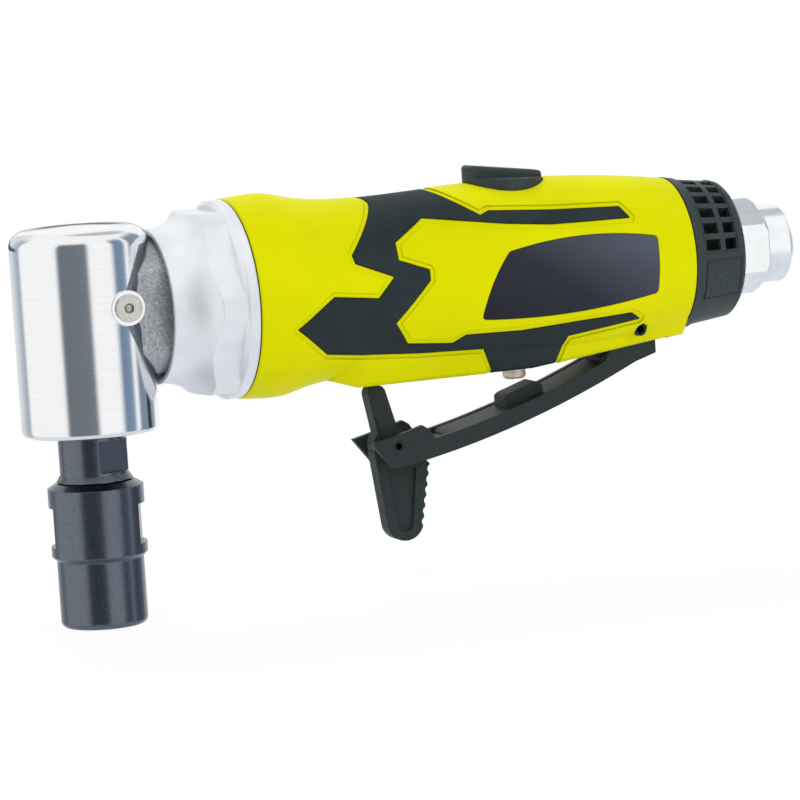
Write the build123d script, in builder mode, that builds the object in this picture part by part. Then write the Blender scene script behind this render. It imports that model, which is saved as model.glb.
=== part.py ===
"""Right angle air die grinder: a vane motor in a moulded handle drives a collet through bevel gears."""

import math
import os

from build123d import *

os.makedirs("parts", exist_ok=True)

# Frame: the origin is the middle of the collet's mouth, +Z runs up the spindle,
# +X along the motor to the air inlet.

# Fits
seat_gap = 0.02  # pieces pressed or screwed together
running_gap = 0.08  # a shaft or a spool in its bore
side_gap = 0.3  # moving faces that pass each other

# Angle head
motor_axis_z = 69.3
head_radius = 15.35
head_bottom_z = 43.0
head_top_z = 88.4
head_top_fillet = 3.8
head_edge = 1.2
head_roof = 3.0
neck_half_width = 12.2
neck_flange_radius = 17.2
neck_flange_width = 3.0
pocket_floor = 8.0
pocket_slope = math.radians(50)
pocket_root_x = 8.9
pocket_root_height = 4.0
pocket_end_x = 14.5
pocket_end_height = 18.0
nipple_x = 5.7
nipple_rise = 1.8
nipple_boss_radius = 3.9
nipple_boss_reach = 15.3
nipple_radius = 3.1
nipple_stem_radius = 1.6
nipple_head = 0.5
nipple_stem = 3.6
nipple_ball_radius = 1.1

# Bearings: bore radius, outside radius and width
lower_bearing_bore = 5.0
lower_bearing_outside = 13.0
lower_bearing_width = 8.0
upper_bearing_bore = 3.0
upper_bearing_outside = 7.5
upper_bearing_width = 5.0
shaft_bearing_bore = 3.5
shaft_bearing_outside = 9.5
shaft_bearing_width = 6.0
ball_share = 0.26
shoulder_share = 0.45
race_gap = 0.05
ball_count = 7
bearing_cap_width = 4.0
bearing_cap_recess = 0.4
cap_spanner_hole = 1.0

# Bevel gears
gear_module = 0.9
pinion_teeth = 15
gear_teeth = 19
gear_face = 3.4
gear_backlash = 0.14
pressure_angle = math.radians(20)
tooth_tip_gap = 0.45
gear_radius = 9.2
gear_rim = 1.4
gear_hub_radius = 7.0
pinion_hub_radius = 5.0
circlip_width = 1.0
circlip_depth = 1.4
circlip_mouth = 3.0

# Spindle, collet and collet nut
spindle_neck_radius = 7.6
spindle_collar_radius = 8.5
spindle_collar_height = 1.7
spindle_thread_radius = 6.5
spindle_nose_z = 8.2
spindle_shaft_radius = 4.0
spindle_drill_radius = 3.3
spindle_drill_top_z = 38.0
neck_flats = 12.0
neck_flats_z = 34.5
neck_flats_height = 7.0
neck_flats_angle = -60.0
collet_bore_radius = 3.0
collet_length = 26.0
collet_face_radius = 4.0
collet_shoulder_radius = 5.9
collet_lip = 1.2
collet_land = 1.6
collet_tail_radius = 4.0
collet_taper_radius = 5.2
collet_slot = 0.8
collet_slot_count = 3
collet_slot_length = 20.0
nut_barrel_radius = 9.65
nut_barrel_length = 15.0
nut_body_radius = 10.65
nut_body_top_z = 31.0
nut_top_z = 32.2
nut_top_radius = 8.7
nut_edge = 1.5
nut_flats = 18.9
nut_flats_z = 18.2
nut_flats_height = 8.8
nut_flats_angle = -21.0
nut_counterbore_radius = 7.9
nut_counterbore_depth = 2.2

# Clamp nut that holds the head to the motor
clamp_front_x = 15.6
clamp_length = 18.1
clamp_throat_length = 7.9
clamp_throat_radius = 15.3
clamp_mouth_radius = 16.3
clamp_mouth_depth = 2.0
clamp_rim_radius = 17.3
clamp_flats = 40.1
clamp_corner_radius = 21.9
clamp_flare_length = 9.8
clamp_flare_sag = 1.7
clamp_flange_radius = 22.2
clamp_flange_width = 3.2
clamp_flange_bevel = 0.9
clamp_thread_radius = 18.2
gasket_width = 0.5
gasket_radius = 14.6

# Vane motor
sleeve_radius = 16.0
sleeve_wall = 1.1
sleeve_lip = 0.7
sleeve_lip_radius = 13.5
sleeve_overlap = 2.0
end_plate_wall = 2.0
end_plate_hole = 5.0
liner_length = 39.0
liner_bore_radius = 11.8
liner_offset = 1.2
liner_port_radius = 1.5
liner_port_count = 5
liner_port_pitch = 6.0
rotor_radius = 10.5
rotor_shoulder_radius = 4.6
rotor_side_gap = 0.15
vane_count = 5
vane_width = 1.6
vane_depth = 6.0
vane_gap = 0.05
drive_square = 4.0
coupling_radius = 5.5
coupling_length = 7.5
coupling_gap = 0.4
tang_gap = 0.3

# Valve block and inlet
block_length = 28.0
tail_radius = 9.0
tail_length = 23.0
valve_setback = 13.4
valve_bore_radius = 5.5
air_passage_radius = 4.0
feed_passage_radius = 2.0
feed_drop = 10.8
inlet_thread_radius = 7.0
inlet_thread_length = 13.2
inlet_journal_radius = 8.2
inlet_flats = 19.0
inlet_hex_width = 8.3
inlet_hex_chamfer = 0.9
inlet_boss_radius = 8.9
inlet_boss_length = 6.5
inlet_boss_edge = 0.8
inlet_tap_radius = 5.9
inlet_tap_length = 12.0
screen_radius = 5.5
screen_width = 0.8
screen_hole_radius = 0.55
screen_hole_pitch = 1.5
screen_side = 5
o_ring_gap = 1.2

# Throttle valve and speed regulator
plunger_radius = 2.65
plunger_stem_radius = 1.6
plunger_reach = 2.6
bush_bottom_z = 49.0
bush_guide_length = 5.0
bush_length = 12.2
bush_bore_radius = 3.4
poppet_radius = 3.8
poppet_height = 2.6
poppet_lift = 0.05
poppet_spigot_radius = 1.2
poppet_spigot_height = 1.6
spring_wire_radius = 0.35
spring_radius = 2.9
spring_turns = 5
spool_inner_radius = 4.3
spool_skirt = 1.5
spool_roof_z = 73.6
spool_roof = 2.0
spool_top_z = 82.0
spool_stem_radius = 3.4
spool_port_radius = 2.5
ring_groove_width = 1.6
ring_groove_depth = 1.2
knob_radius = 9.0
knob_recess_radius = 9.3
knob_recess_z = 17.2
knob_skirt_front_z = 21.8
knob_skirt_rear_z = 20.7
knob_bar_front_z = 24.7
knob_bar_rear_z = 22.1
knob_bar_width = 6.4
knob_edge = 0.9
knob_socket_depth = 2.4

# Handle: radii along the motor axis, and the keel below it
housing_length = 106.9
housing_rim_radius = 22.3
bell_x = 5.0
bell_radius = 22.75
bell_end_x = 10.5
bell_end_radius = 22.65
shoulder_x = 14.5
shoulder_radius = 21.65
groove_x = 19.0
groove_radius = 20.75
waist_x = 37.3
waist_radius = 19.95
belly_x = 67.3
belly_radius = 20.8
taper_x = 88.0
taper_radius = 19.8
housing_rear_radius = 17.5
rim_chamfer = 0.6
keel_root_x = 21.5
keel_front_x = 27.0
keel_break_x = 69.3
keel_depth = 22.1
keel_root_depth = 20.3
keel_rear_depth = 18.2
keel_root_half_width = 6.5
keel_half_width = 8.5
keel_rear_half_width = 7.0
keel_shoulder_half_width = 17.0
keel_rear_shoulder_half_width = 14.0
keel_shoulder_depth = 10.0
keel_corner = 3.0
grip_depth = 1.3
grip_sink = 0.1
grip_corner = 0.6
grip_seam = 0.12
ledge_width = 1.1
ledge_depth = 0.3
plate_depth = 0.6
plate_seam = 0.15
plate_corner = 0.9
plunger_hole_gap = 0.5
exhaust_passage_radius = 2.2
exhaust_passage_pitch_radius = 13.0
exhaust_passage_count = 7
exhaust_passage_span = 150.0

# Lever and safety latch
lever_pin_set = 12.1
lever_pin_rise = 6.7
lever_pin_radius = 1.5
lever_pin_half_length = 11.0
lever_half_width = 7.0
lever_wall = 1.6
lever_floor = 3.1
lever_rim_height = 4.1
lever_heel_drop = 7.7
lever_slope = 0.46
lever_bend = 0.0026
lever_eye_radius = 3.8
lever_eye_front = 7.5
lever_reach = 58.8
lever_fork_x = 7.3
lever_slot_front = 11.0
lever_slot_rear = 8.5
lever_slot_drop = 11.2
lever_pad_half_width = 3.2
lever_pad_gap = 0.8
latch_drop = 20.9
latch_half_width = 2.2
latch_lean = math.radians(12.8)
latch_arm_length = 11.9
latch_arm_half = 2.1
latch_hub_radius = 4.2
latch_pin_radius = 1.25
latch_groove_count = 6
latch_groove_radius = 1.1
latch_groove_depth = 0.4
latch_pocket_depth = 0.8
latch_slot_half_width = 3.6
latch_slot_front = 9.0
latch_slot_rear = 15.5
latch_slot_depth = 3.2
latch_coil_radius = 2.2
latch_wire_radius = 0.3
latch_coil_turns = 2
latch_coil_pitch = 1.1
latch_leg_long = 7.0
latch_leg_short = 2.5
pin_bore_share = 0.6

# Exhaust collar
collar_length = 13.2
collar_front_radius = 17.6
collar_rear_radius = 15.6
collar_lip = 2.2
collar_lip_step = 0.35
collar_wall = 1.9
collar_rear_wall = 2.0
collar_rear_edge = 0.8
collar_axial_gap = 0.25
collar_slot_height = 2.5
collar_slot_pitch = 13.5
collar_slot_rows = 13
collar_slot_start = 9.0
collar_slot_columns = ((2.8, 3.7), (7.8, 2.9))
collar_panel_depth = 0.35
collar_panel_start = -35.0
collar_panel_span = 31.0
collar_panel_x = 3.0
collar_panel_length = 8.0
collar_notch_count = 10
collar_notch_radius = 0.9
felt_radius = 12.8
felt_gap = 0.6

# Places along the motor axis that follow from the sizes above
head_height = head_top_z - head_bottom_z
clamp_shoulder_x = clamp_front_x + clamp_throat_length
housing_front_x = clamp_front_x + clamp_length
housing_rear_x = housing_front_x + housing_length
neck_flange_x = clamp_shoulder_x
neck_rear_x = neck_flange_x + neck_flange_width
sleeve_front_x = neck_rear_x + gasket_width
pinion_bearing_x = neck_flange_x - shaft_bearing_width
sleeve_bore = sleeve_radius - sleeve_wall
end_plate_length = shaft_bearing_width + end_plate_wall
front_plate_x = housing_front_x - sleeve_lip
liner_x = front_plate_x + end_plate_length
rear_plate_x = liner_x + liner_length
rear_bearing_x = rear_plate_x + end_plate_wall
block_x = rear_plate_x + end_plate_length
sleeve_rear_x = block_x + sleeve_overlap
block_rear_x = block_x + block_length
tail_rear_x = block_rear_x + tail_length
valve_x = block_x + valve_setback
collar_x = housing_rear_x + collar_axial_gap
hex_x = collar_x + collar_length + collar_axial_gap
boss_x = hex_x + inlet_hex_width
inlet_x = boss_x + inlet_boss_length

# Places along the spindle
lower_bearing_z = head_bottom_z + bearing_cap_width
gear_hub_z = lower_bearing_z + lower_bearing_width
upper_bearing_top_z = head_top_z - head_roof
upper_bearing_z = upper_bearing_top_z - upper_bearing_width

# Bevel gear cone
cone_distance = gear_module * math.hypot(pinion_teeth, gear_teeth) / 2
pinion_back = gear_module * gear_teeth / 2
gear_back = gear_module * pinion_teeth / 2
small_end = 1 - gear_face / cone_distance
addendum_angle = math.atan2(gear_module, cone_distance)
dedendum_angle = math.atan2(1.25 * gear_module, cone_distance)
pinion_tip_radius = pinion_back * math.tan(math.atan2(pinion_teeth, gear_teeth) + addendum_angle)
gear_root_radius = gear_back * math.tan(math.atan2(gear_teeth, pinion_teeth) - dedendum_angle)
gear_large_end = gear_radius / gear_root_radius
gear_chamber_radius = gear_radius + tooth_tip_gap
pinion_bore_radius = pinion_tip_radius + tooth_tip_gap

# Lever pivot, latch pivot and valve
keel_bottom_z = motor_axis_z - keel_depth
lever_pin_x = housing_rear_x - lever_pin_set
lever_pin_z = keel_bottom_z + lever_pin_rise
plunger_bottom_z = keel_bottom_z - plunger_reach
latch_x = lever_pin_x - lever_reach
latch_z = lever_pin_z - latch_drop
bush_top_z = bush_bottom_z + bush_length
poppet_z = bush_top_z + poppet_lift
knob_base_z = motor_axis_z + knob_recess_z + side_gap

motor_plane = Plane(origin=(0, 0, motor_axis_z), x_dir=(1, 0, 0), z_dir=(0, -1, 0))
motor_axis = Axis((0, 0, motor_axis_z), (1, 0, 0))
valve_axis = Axis((valve_x, 0, 0), (0, 0, 1))
side_reach = 40.0


def motor_section(x):
    """The plane across the motor axis at x, with Y to its right and Z up."""
    return Plane(origin=(x, 0, motor_axis_z), x_dir=(0, 1, 0), z_dir=(1, 0, 0))


def valve_section(z):
    """The plane across the valve's vertical axis at height z."""
    return Plane(origin=(valve_x, 0, z))


def polar_point(radius, angle):
    return radius * math.cos(angle), radius * math.sin(angle)


# Angle head: the casting's neck has two flat sides and ends in a flange that the clamp nut holds
with BuildPart() as head_neck:
    with BuildSketch(motor_section(0)):
        Circle(clamp_throat_radius - side_gap)
        Rectangle(2 * neck_half_width, 2 * clamp_throat_radius, mode=Mode.INTERSECT)
    extrude(amount=neck_flange_x)
    with BuildSketch(motor_section(neck_flange_x)):
        Circle(neck_flange_radius)
    extrude(amount=neck_flange_width)

with BuildPart() as angle_head:
    with BuildSketch(Plane.XY.offset(head_bottom_z)):
        Circle(head_radius)
    extrude(amount=head_height)
    fillet(angle_head.edges().filter_by(GeomType.CIRCLE).sort_by(Axis.Z)[-1], head_top_fillet)
    fillet(angle_head.edges().filter_by(GeomType.CIRCLE).sort_by(Axis.Z)[0], head_edge)
    for side in (1, -1):
        for reach in (pocket_floor, head_radius):
            with BuildSketch(motor_plane.offset(side * reach)):
                with BuildLine():
                    Polyline(
                        (pocket_root_x, nipple_rise - pocket_root_height),
                        (pocket_root_x, nipple_rise + pocket_root_height),
                        (pocket_end_x, pocket_end_height),
                        (neck_flange_x, pocket_end_height),
                        (neck_flange_x, -pocket_end_height),
                        (pocket_end_x, -pocket_end_height),
                        close=True,
                    )
                make_face()
                offset(amount=(reach - neck_half_width) * math.tan(pocket_slope), kind=Kind.INTERSECTION)
        loft(ruled=True, mode=Mode.SUBTRACT)
    add(head_neck.part)
    with BuildSketch(motor_plane.offset(neck_half_width)):
        with Locations((nipple_x, nipple_rise)):
            Circle(nipple_boss_radius)
    extrude(amount=nipple_boss_reach - neck_half_width)
    with BuildSketch(motor_plane.offset(nipple_boss_reach)):
        with Locations((nipple_x, nipple_rise)):
            Circle(nipple_stem_radius + seat_gap)
    extrude(amount=-nipple_boss_reach, mode=Mode.SUBTRACT)
    with BuildSketch(Plane.XY.offset(head_bottom_z)):
        Circle(lower_bearing_outside)
    extrude(amount=gear_hub_z - head_bottom_z, mode=Mode.SUBTRACT)
    with BuildSketch(Plane.XY.offset(gear_hub_z)):
        Circle(gear_chamber_radius)
    extrude(amount=upper_bearing_z - gear_hub_z, mode=Mode.SUBTRACT)
    with BuildSketch(Plane.XY.offset(upper_bearing_z)):
        Circle(upper_bearing_outside)
    extrude(amount=upper_bearing_width, mode=Mode.SUBTRACT)
    with BuildSketch(Plane.XY.offset(upper_bearing_top_z)):
        Circle((upper_bearing_bore + upper_bearing_outside) / 2)
    extrude(amount=side_gap, mode=Mode.SUBTRACT)
    with BuildSketch(motor_section(0)):
        Circle(pinion_bore_radius)
    extrude(amount=pinion_bearing_x, mode=Mode.SUBTRACT)
    with BuildSketch(motor_section(pinion_bearing_x)):
        Circle(shaft_bearing_outside)
    extrude(amount=neck_rear_x - pinion_bearing_x, mode=Mode.SUBTRACT)
    with BuildSketch(motor_section(neck_flange_x)):
        Circle(shaft_bearing_outside + circlip_depth / 2)
    extrude(amount=circlip_width, mode=Mode.SUBTRACT)
angle_head.part.label = "angle_head"
export_step(angle_head.part, "parts/angle_head.step")

# Grease nipple: a flush head with a ball valve, pressed into the boss
with BuildPart() as grease_nipple:
    with BuildSketch(motor_plane.offset(nipple_boss_reach)):
        with Locations((nipple_x, nipple_rise)):
            Circle(nipple_radius)
    extrude(amount=nipple_head)
    fillet(grease_nipple.edges().sort_by(Axis.Y)[0], nipple_head / 2)
    with BuildSketch(motor_plane.offset(nipple_boss_reach)):
        with Locations((nipple_x, nipple_rise)):
            Circle(nipple_stem_radius)
    extrude(amount=-nipple_stem)
    with Locations((nipple_x, -nipple_boss_reach - nipple_head, motor_axis_z + nipple_rise)):
        Sphere(nipple_ball_radius, mode=Mode.SUBTRACT)
    with Locations((nipple_x, -nipple_boss_reach + nipple_head / 2, motor_axis_z + nipple_rise)):
        Sphere(nipple_ball_radius * 0.8)
grease_nipple.part.label = "grease_nipple"
export_step(grease_nipple.part, "parts/grease_nipple.step")

# Bearing cap: a ring screwed into the bottom of the head, with two holes for a pin spanner
with BuildPart() as bearing_cap:
    with BuildSketch(Plane.XY.offset(head_bottom_z + bearing_cap_recess)):
        Circle(lower_bearing_outside - seat_gap)
        Circle(spindle_neck_radius + side_gap, mode=Mode.SUBTRACT)
        with PolarLocations((lower_bearing_outside + spindle_neck_radius) / 2, 2):
            Circle(cap_spanner_hole, mode=Mode.SUBTRACT)
    extrude(amount=bearing_cap_width - bearing_cap_recess)
bearing_cap.part.label = "bearing_cap"
export_step(bearing_cap.part, "parts/bearing_cap.step")


# Ball bearings: grooved rings with a row of balls between them
def ball_bearing(name, base, bore, outside, width):
    pitch_radius = (bore + outside) / 2
    ball_radius = ball_share * (outside - bore)
    shoulder = shoulder_share * ball_radius
    rings = {
        "outer": (outside - seat_gap, pitch_radius + shoulder),
        "inner": (pitch_radius - shoulder, bore + seat_gap),
    }
    for ring_name, (ring_outside, ring_inside) in rings.items():
        with BuildPart(base) as ring:
            with BuildSketch(base):
                Circle(ring_outside)
                Circle(ring_inside, mode=Mode.SUBTRACT)
            extrude(amount=width)
            with Locations((0, 0, width / 2)):
                Torus(pitch_radius, ball_radius + race_gap, mode=Mode.SUBTRACT)
        ring.part.label = f"{name}_{ring_name}_ring"
        export_step(ring.part, f"parts/{name}_{ring_name}_ring.step")
    with BuildPart(base.offset(width / 2)) as balls:
        with PolarLocations(pitch_radius, ball_count):
            Sphere(ball_radius)
    balls.part.label = f"{name}_balls"
    export_step(balls.part, f"parts/{name}_balls.step")


ball_bearing(
    "spindle_lower_bearing",
    Plane.XY.offset(lower_bearing_z),
    lower_bearing_bore,
    lower_bearing_outside,
    lower_bearing_width,
)
ball_bearing(
    "spindle_upper_bearing",
    Plane.XY.offset(upper_bearing_z),
    upper_bearing_bore,
    upper_bearing_outside,
    upper_bearing_width,
)
shaft_bearings = {
    "pinion_bearing": pinion_bearing_x,
    "rotor_front_bearing": front_plate_x,
    "rotor_rear_bearing": rear_bearing_x,
}
for bearing_name, bearing_x in shaft_bearings.items():
    ball_bearing(
        bearing_name,
        motor_section(bearing_x),
        shaft_bearing_bore,
        shaft_bearing_outside,
        shaft_bearing_width,
    )


# Straight bevel gears: every tooth flank runs to the point where the two axes cross
def involute(angle):
    return math.tan(angle) - angle


def tooth_corners(teeth, mate_teeth, phase, scale):
    """Corners of the ring of teeth in the plane across a gear's axis at its large end, shrunk by scale."""
    pitch_angle = math.atan2(teeth, mate_teeth)
    pitch_radius = gear_module * teeth / 2
    back = gear_module * mate_teeth / 2
    virtual_radius = pitch_radius / math.cos(pitch_angle)
    base_radius = virtual_radius * math.cos(pressure_angle)
    half_tooth = (math.pi * gear_module - gear_backlash) / 4 / virtual_radius
    flank = []
    for rise in (-1.25 * gear_module, -0.3 * gear_module, 0.4 * gear_module, gear_module):
        radius = virtual_radius + rise
        flank_angle = math.acos(min(1, base_radius / radius))
        half_width = radius * (half_tooth + involute(pressure_angle) - involute(flank_angle))
        cone_radius = pitch_radius + rise * math.cos(pitch_angle)
        cone_height = back - rise * math.sin(pitch_angle)
        flank.append((cone_radius * back / cone_height, half_width / cone_radius))
    corners = []
    for tooth in range(teeth):
        middle = phase + 2 * math.pi * tooth / teeth
        corners += [polar_point(scale * radius, middle - half) for radius, half in flank]
        corners += [polar_point(scale * radius, middle + half) for radius, half in reversed(flank)]
    return corners


with BuildPart() as drive_pinion:
    for scale in (1, small_end):
        with BuildSketch(motor_section(pinion_back * scale)):
            with BuildLine():
                Polyline(*tooth_corners(pinion_teeth, gear_teeth, -math.pi / 2, scale), close=True)
            make_face()
    loft(ruled=True)
    with BuildSketch(motor_section(pinion_back)):
        Circle(pinion_hub_radius)
    extrude(amount=pinion_bearing_x - pinion_back)
    with BuildSketch(motor_section(pinion_bearing_x)):
        Circle(shaft_bearing_bore)
    extrude(amount=shaft_bearing_width)
    with BuildSketch(motor_section(neck_flange_x)):
        Rectangle(drive_square, drive_square)
    extrude(amount=coupling_gap + coupling_length / 2 - tang_gap)
drive_pinion.part.label = "drive_pinion"
export_step(drive_pinion.part, "parts/drive_pinion.step")

gear_rim_z = motor_axis_z - gear_back * gear_large_end - gear_rim
gear_top_z = motor_axis_z - gear_back * small_end
with BuildPart() as bevel_gear:
    for scale in (gear_large_end, small_end):
        with BuildSketch(Plane.XY.offset(motor_axis_z - gear_back * scale)):
            with BuildLine():
                Polyline(*tooth_corners(gear_teeth, pinion_teeth, math.pi / gear_teeth, scale), close=True)
            make_face()
    loft(ruled=True)
    with BuildSketch(Plane.XY.offset(gear_rim_z)):
        Circle(gear_radius)
    extrude(amount=gear_top_z - gear_rim_z, mode=Mode.INTERSECT)
    with BuildSketch(Plane.XY.offset(gear_rim_z)):
        Circle(gear_radius)
    extrude(amount=gear_rim)
    with BuildSketch(Plane.XY.offset(gear_hub_z)):
        Circle(gear_hub_radius)
    extrude(amount=gear_rim_z - gear_hub_z)
    with BuildSketch(Plane.XY.offset(gear_hub_z)):
        Circle(lower_bearing_bore + seat_gap)
    extrude(amount=motor_axis_z - gear_hub_z, mode=Mode.SUBTRACT)
bevel_gear.part.label = "bevel_gear"
export_step(bevel_gear.part, "parts/bevel_gear.step")


# Retaining rings: open rings in a groove
def circlip(base, inside, outside):
    with BuildPart() as ring:
        with BuildSketch(base):
            Circle(outside)
            Circle(inside, mode=Mode.SUBTRACT)
            with Locations((outside, 0)):
                Rectangle(2 * (outside - inside) + circlip_mouth, circlip_mouth, mode=Mode.SUBTRACT)
        extrude(amount=circlip_width)
    return ring


pinion_circlip = circlip(
    motor_section(neck_flange_x),
    shaft_bearing_outside - circlip_depth,
    shaft_bearing_outside + circlip_depth / 2 - seat_gap,
)
pinion_circlip.part.label = "pinion_circlip"
export_step(pinion_circlip.part, "parts/pinion_circlip.step")

gear_circlip = circlip(
    Plane.XY.offset(gear_top_z),
    lower_bearing_bore - circlip_depth / 2 + seat_gap,
    lower_bearing_bore + circlip_depth / 2,
)
gear_circlip.part.label = "gear_circlip"
export_step(gear_circlip.part, "parts/gear_circlip.step")

# Spindle: threaded nose with the collet's taper, neck with wrench flats, seats for the bearings and the gear
taper_rate = (collet_taper_radius - collet_tail_radius) / (collet_length - spindle_nose_z)
with BuildPart() as spindle:
    with BuildSketch(Plane.XZ):
        with BuildLine():
            Polyline(
                (collet_taper_radius + seat_gap, spindle_nose_z),
                (spindle_thread_radius, spindle_nose_z),
                (spindle_thread_radius, nut_body_top_z),
                (spindle_neck_radius, nut_top_z),
                (spindle_collar_radius, nut_top_z + side_gap),
                (spindle_neck_radius, nut_top_z + spindle_collar_height),
                (spindle_neck_radius, lower_bearing_z),
                (lower_bearing_bore, lower_bearing_z),
                (lower_bearing_bore, gear_top_z),
                (lower_bearing_bore - circlip_depth / 2, gear_top_z),
                (lower_bearing_bore - circlip_depth / 2, gear_top_z + circlip_width),
                (spindle_shaft_radius, gear_top_z + circlip_width),
                (spindle_shaft_radius, upper_bearing_z),
                (upper_bearing_bore, upper_bearing_z),
                (upper_bearing_bore, upper_bearing_top_z),
                (0, upper_bearing_top_z),
                (0, spindle_drill_top_z),
                (spindle_drill_radius, spindle_drill_top_z - spindle_drill_radius),
                (spindle_drill_radius, collet_length),
                (collet_tail_radius + seat_gap, collet_length),
                close=True,
            )
        make_face()
    revolve(axis=Axis.Z)
    with BuildSketch(Plane.XY.offset(neck_flats_z)):
        with Locations(Rotation(0, 0, neck_flats_angle)):
            with GridLocations(2 * neck_flats, 0, 2, 1):
                Rectangle(neck_flats, 2 * head_radius)
    extrude(amount=neck_flats_height, mode=Mode.SUBTRACT)
spindle.part.label = "spindle"
export_step(spindle.part, "parts/spindle.step")

# Collet: a slit taper sleeve whose shoulder the nut pulls up into the spindle
collet_cone_z = collet_lip + collet_shoulder_radius - collet_face_radius
with BuildPart() as collet:
    with BuildSketch(Plane.XZ):
        with BuildLine():
            Polyline(
                (collet_bore_radius, 0),
                (collet_face_radius, 0),
                (collet_face_radius, collet_lip),
                (collet_shoulder_radius, collet_cone_z),
                (collet_shoulder_radius, collet_cone_z + collet_land),
                (collet_taper_radius, spindle_nose_z - side_gap),
                (collet_taper_radius, spindle_nose_z),
                (collet_tail_radius, collet_length),
                (collet_bore_radius, collet_length),
                close=True,
            )
        make_face()
    revolve(axis=Axis.Z)
    with BuildSketch(Plane.XY):
        with PolarLocations(collet_shoulder_radius, collet_slot_count):
            Rectangle(2 * collet_shoulder_radius, collet_slot)
    extrude(amount=collet_slot_length, mode=Mode.SUBTRACT)
collet.part.label = "collet"
export_step(collet.part, "parts/collet.step")

# Collet nut: a blackened steel barrel with two wrench flats milled into its wider body
with BuildPart() as collet_nut:
    with BuildSketch(Plane.XZ):
        with BuildLine():
            Polyline(
                (collet_face_radius + seat_gap, 0),
                (nut_barrel_radius, 0),
                (nut_barrel_radius, nut_barrel_length),
                (nut_body_radius, nut_barrel_length + nut_body_radius - nut_barrel_radius),
                (nut_body_radius, nut_body_top_z),
                (nut_top_radius, nut_top_z),
                (nut_counterbore_radius, nut_top_z),
                (nut_counterbore_radius, nut_top_z - nut_counterbore_depth),
                (spindle_thread_radius + seat_gap, nut_top_z - nut_counterbore_depth),
                (spindle_thread_radius + seat_gap, collet_cone_z + collet_land),
                (collet_shoulder_radius + seat_gap, collet_cone_z + collet_land),
                (collet_shoulder_radius + seat_gap, collet_cone_z - seat_gap),
                (collet_face_radius + seat_gap, collet_lip - seat_gap),
                close=True,
            )
        make_face()
    revolve(axis=Axis.Z)
    mouth_edges = collet_nut.edges().filter_by(GeomType.CIRCLE).group_by(Axis.Z)[0]
    fillet(mouth_edges.sort_by(SortBy.RADIUS)[-1], nut_edge)
    with BuildSketch(Plane.XY.offset(nut_flats_z)):
        with Locations(Rotation(0, 0, nut_flats_angle)):
            with GridLocations(2 * nut_flats, 0, 2, 1):
                Rectangle(nut_flats, 2 * nut_body_radius)
    extrude(amount=nut_flats_height, mode=Mode.SUBTRACT)
collet_nut.part.label = "collet_nut"
export_step(collet_nut.part, "parts/collet_nut.step")

# Clamp nut: a die-cast union nut, flared from a round mouth into a hexagon with a round flange
clamp_flange_x = housing_front_x - clamp_flange_width
clamp_flare_x = clamp_front_x + clamp_flare_length
clamp_flare_middle = (
    (clamp_front_x + clamp_flare_x) / 2,
    (clamp_rim_radius + clamp_corner_radius) / 2 - clamp_flare_sag,
)
with BuildPart() as clamp_nut:
    with BuildSketch(motor_section(clamp_front_x)):
        RegularPolygon(clamp_flats / 2, 6, major_radius=False)
    extrude(amount=clamp_length)
    with BuildSketch(motor_plane):
        with BuildLine():
            ThreePointArc(
                (clamp_front_x, clamp_rim_radius),
                clamp_flare_middle,
                (clamp_flare_x, clamp_corner_radius),
            )
            Polyline(
                (clamp_flare_x, clamp_corner_radius),
                (housing_front_x, clamp_corner_radius),
                (housing_front_x, 0),
                (clamp_front_x, 0),
                (clamp_front_x, clamp_rim_radius),
            )
        make_face()
    revolve(axis=motor_axis, mode=Mode.INTERSECT)
    with BuildSketch(motor_plane):
        with BuildLine():
            Polyline(
                (clamp_flange_x, 0),
                (clamp_flange_x, clamp_flange_radius - clamp_flange_bevel),
                (clamp_flange_x + clamp_flange_bevel, clamp_flange_radius),
                (housing_front_x, clamp_flange_radius),
                (housing_front_x, 0),
                close=True,
            )
        make_face()
    revolve(axis=motor_axis)
    with BuildSketch(motor_plane):
        with BuildLine():
            Polyline(
                (clamp_front_x, 0),
                (clamp_front_x, clamp_mouth_radius),
                (clamp_front_x + clamp_mouth_depth, clamp_throat_radius),
                (clamp_shoulder_x, clamp_throat_radius),
                (clamp_shoulder_x, clamp_thread_radius),
                (housing_front_x, clamp_thread_radius),
                (housing_front_x, 0),
                close=True,
            )
        make_face()
    revolve(axis=motor_axis, mode=Mode.SUBTRACT)
clamp_nut.part.label = "clamp_nut"
export_step(clamp_nut.part, "parts/clamp_nut.step")

# Head gasket between the head's flange and the motor sleeve
with BuildPart() as head_gasket:
    with BuildSketch(motor_section(neck_rear_x)):
        Circle(neck_flange_radius)
        Circle(gasket_radius, mode=Mode.SUBTRACT)
    extrude(amount=gasket_width)
head_gasket.part.label = "head_gasket"
export_step(head_gasket.part, "parts/head_gasket.step")

# Motor sleeve: an aluminium tube with a threaded nose for the clamp nut
with BuildPart() as motor_sleeve:
    with BuildSketch(motor_plane):
        with BuildLine():
            Polyline(
                (sleeve_front_x, sleeve_lip_radius),
                (sleeve_front_x, clamp_thread_radius - seat_gap),
                (housing_front_x, clamp_thread_radius - seat_gap),
                (housing_front_x, sleeve_radius),
                (sleeve_rear_x, sleeve_radius),
                (sleeve_rear_x, sleeve_bore),
                (front_plate_x, sleeve_bore),
                (front_plate_x, sleeve_lip_radius),
                close=True,
            )
        make_face()
    revolve(axis=motor_axis)
motor_sleeve.part.label = "motor_sleeve"
export_step(motor_sleeve.part, "parts/motor_sleeve.step")

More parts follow.
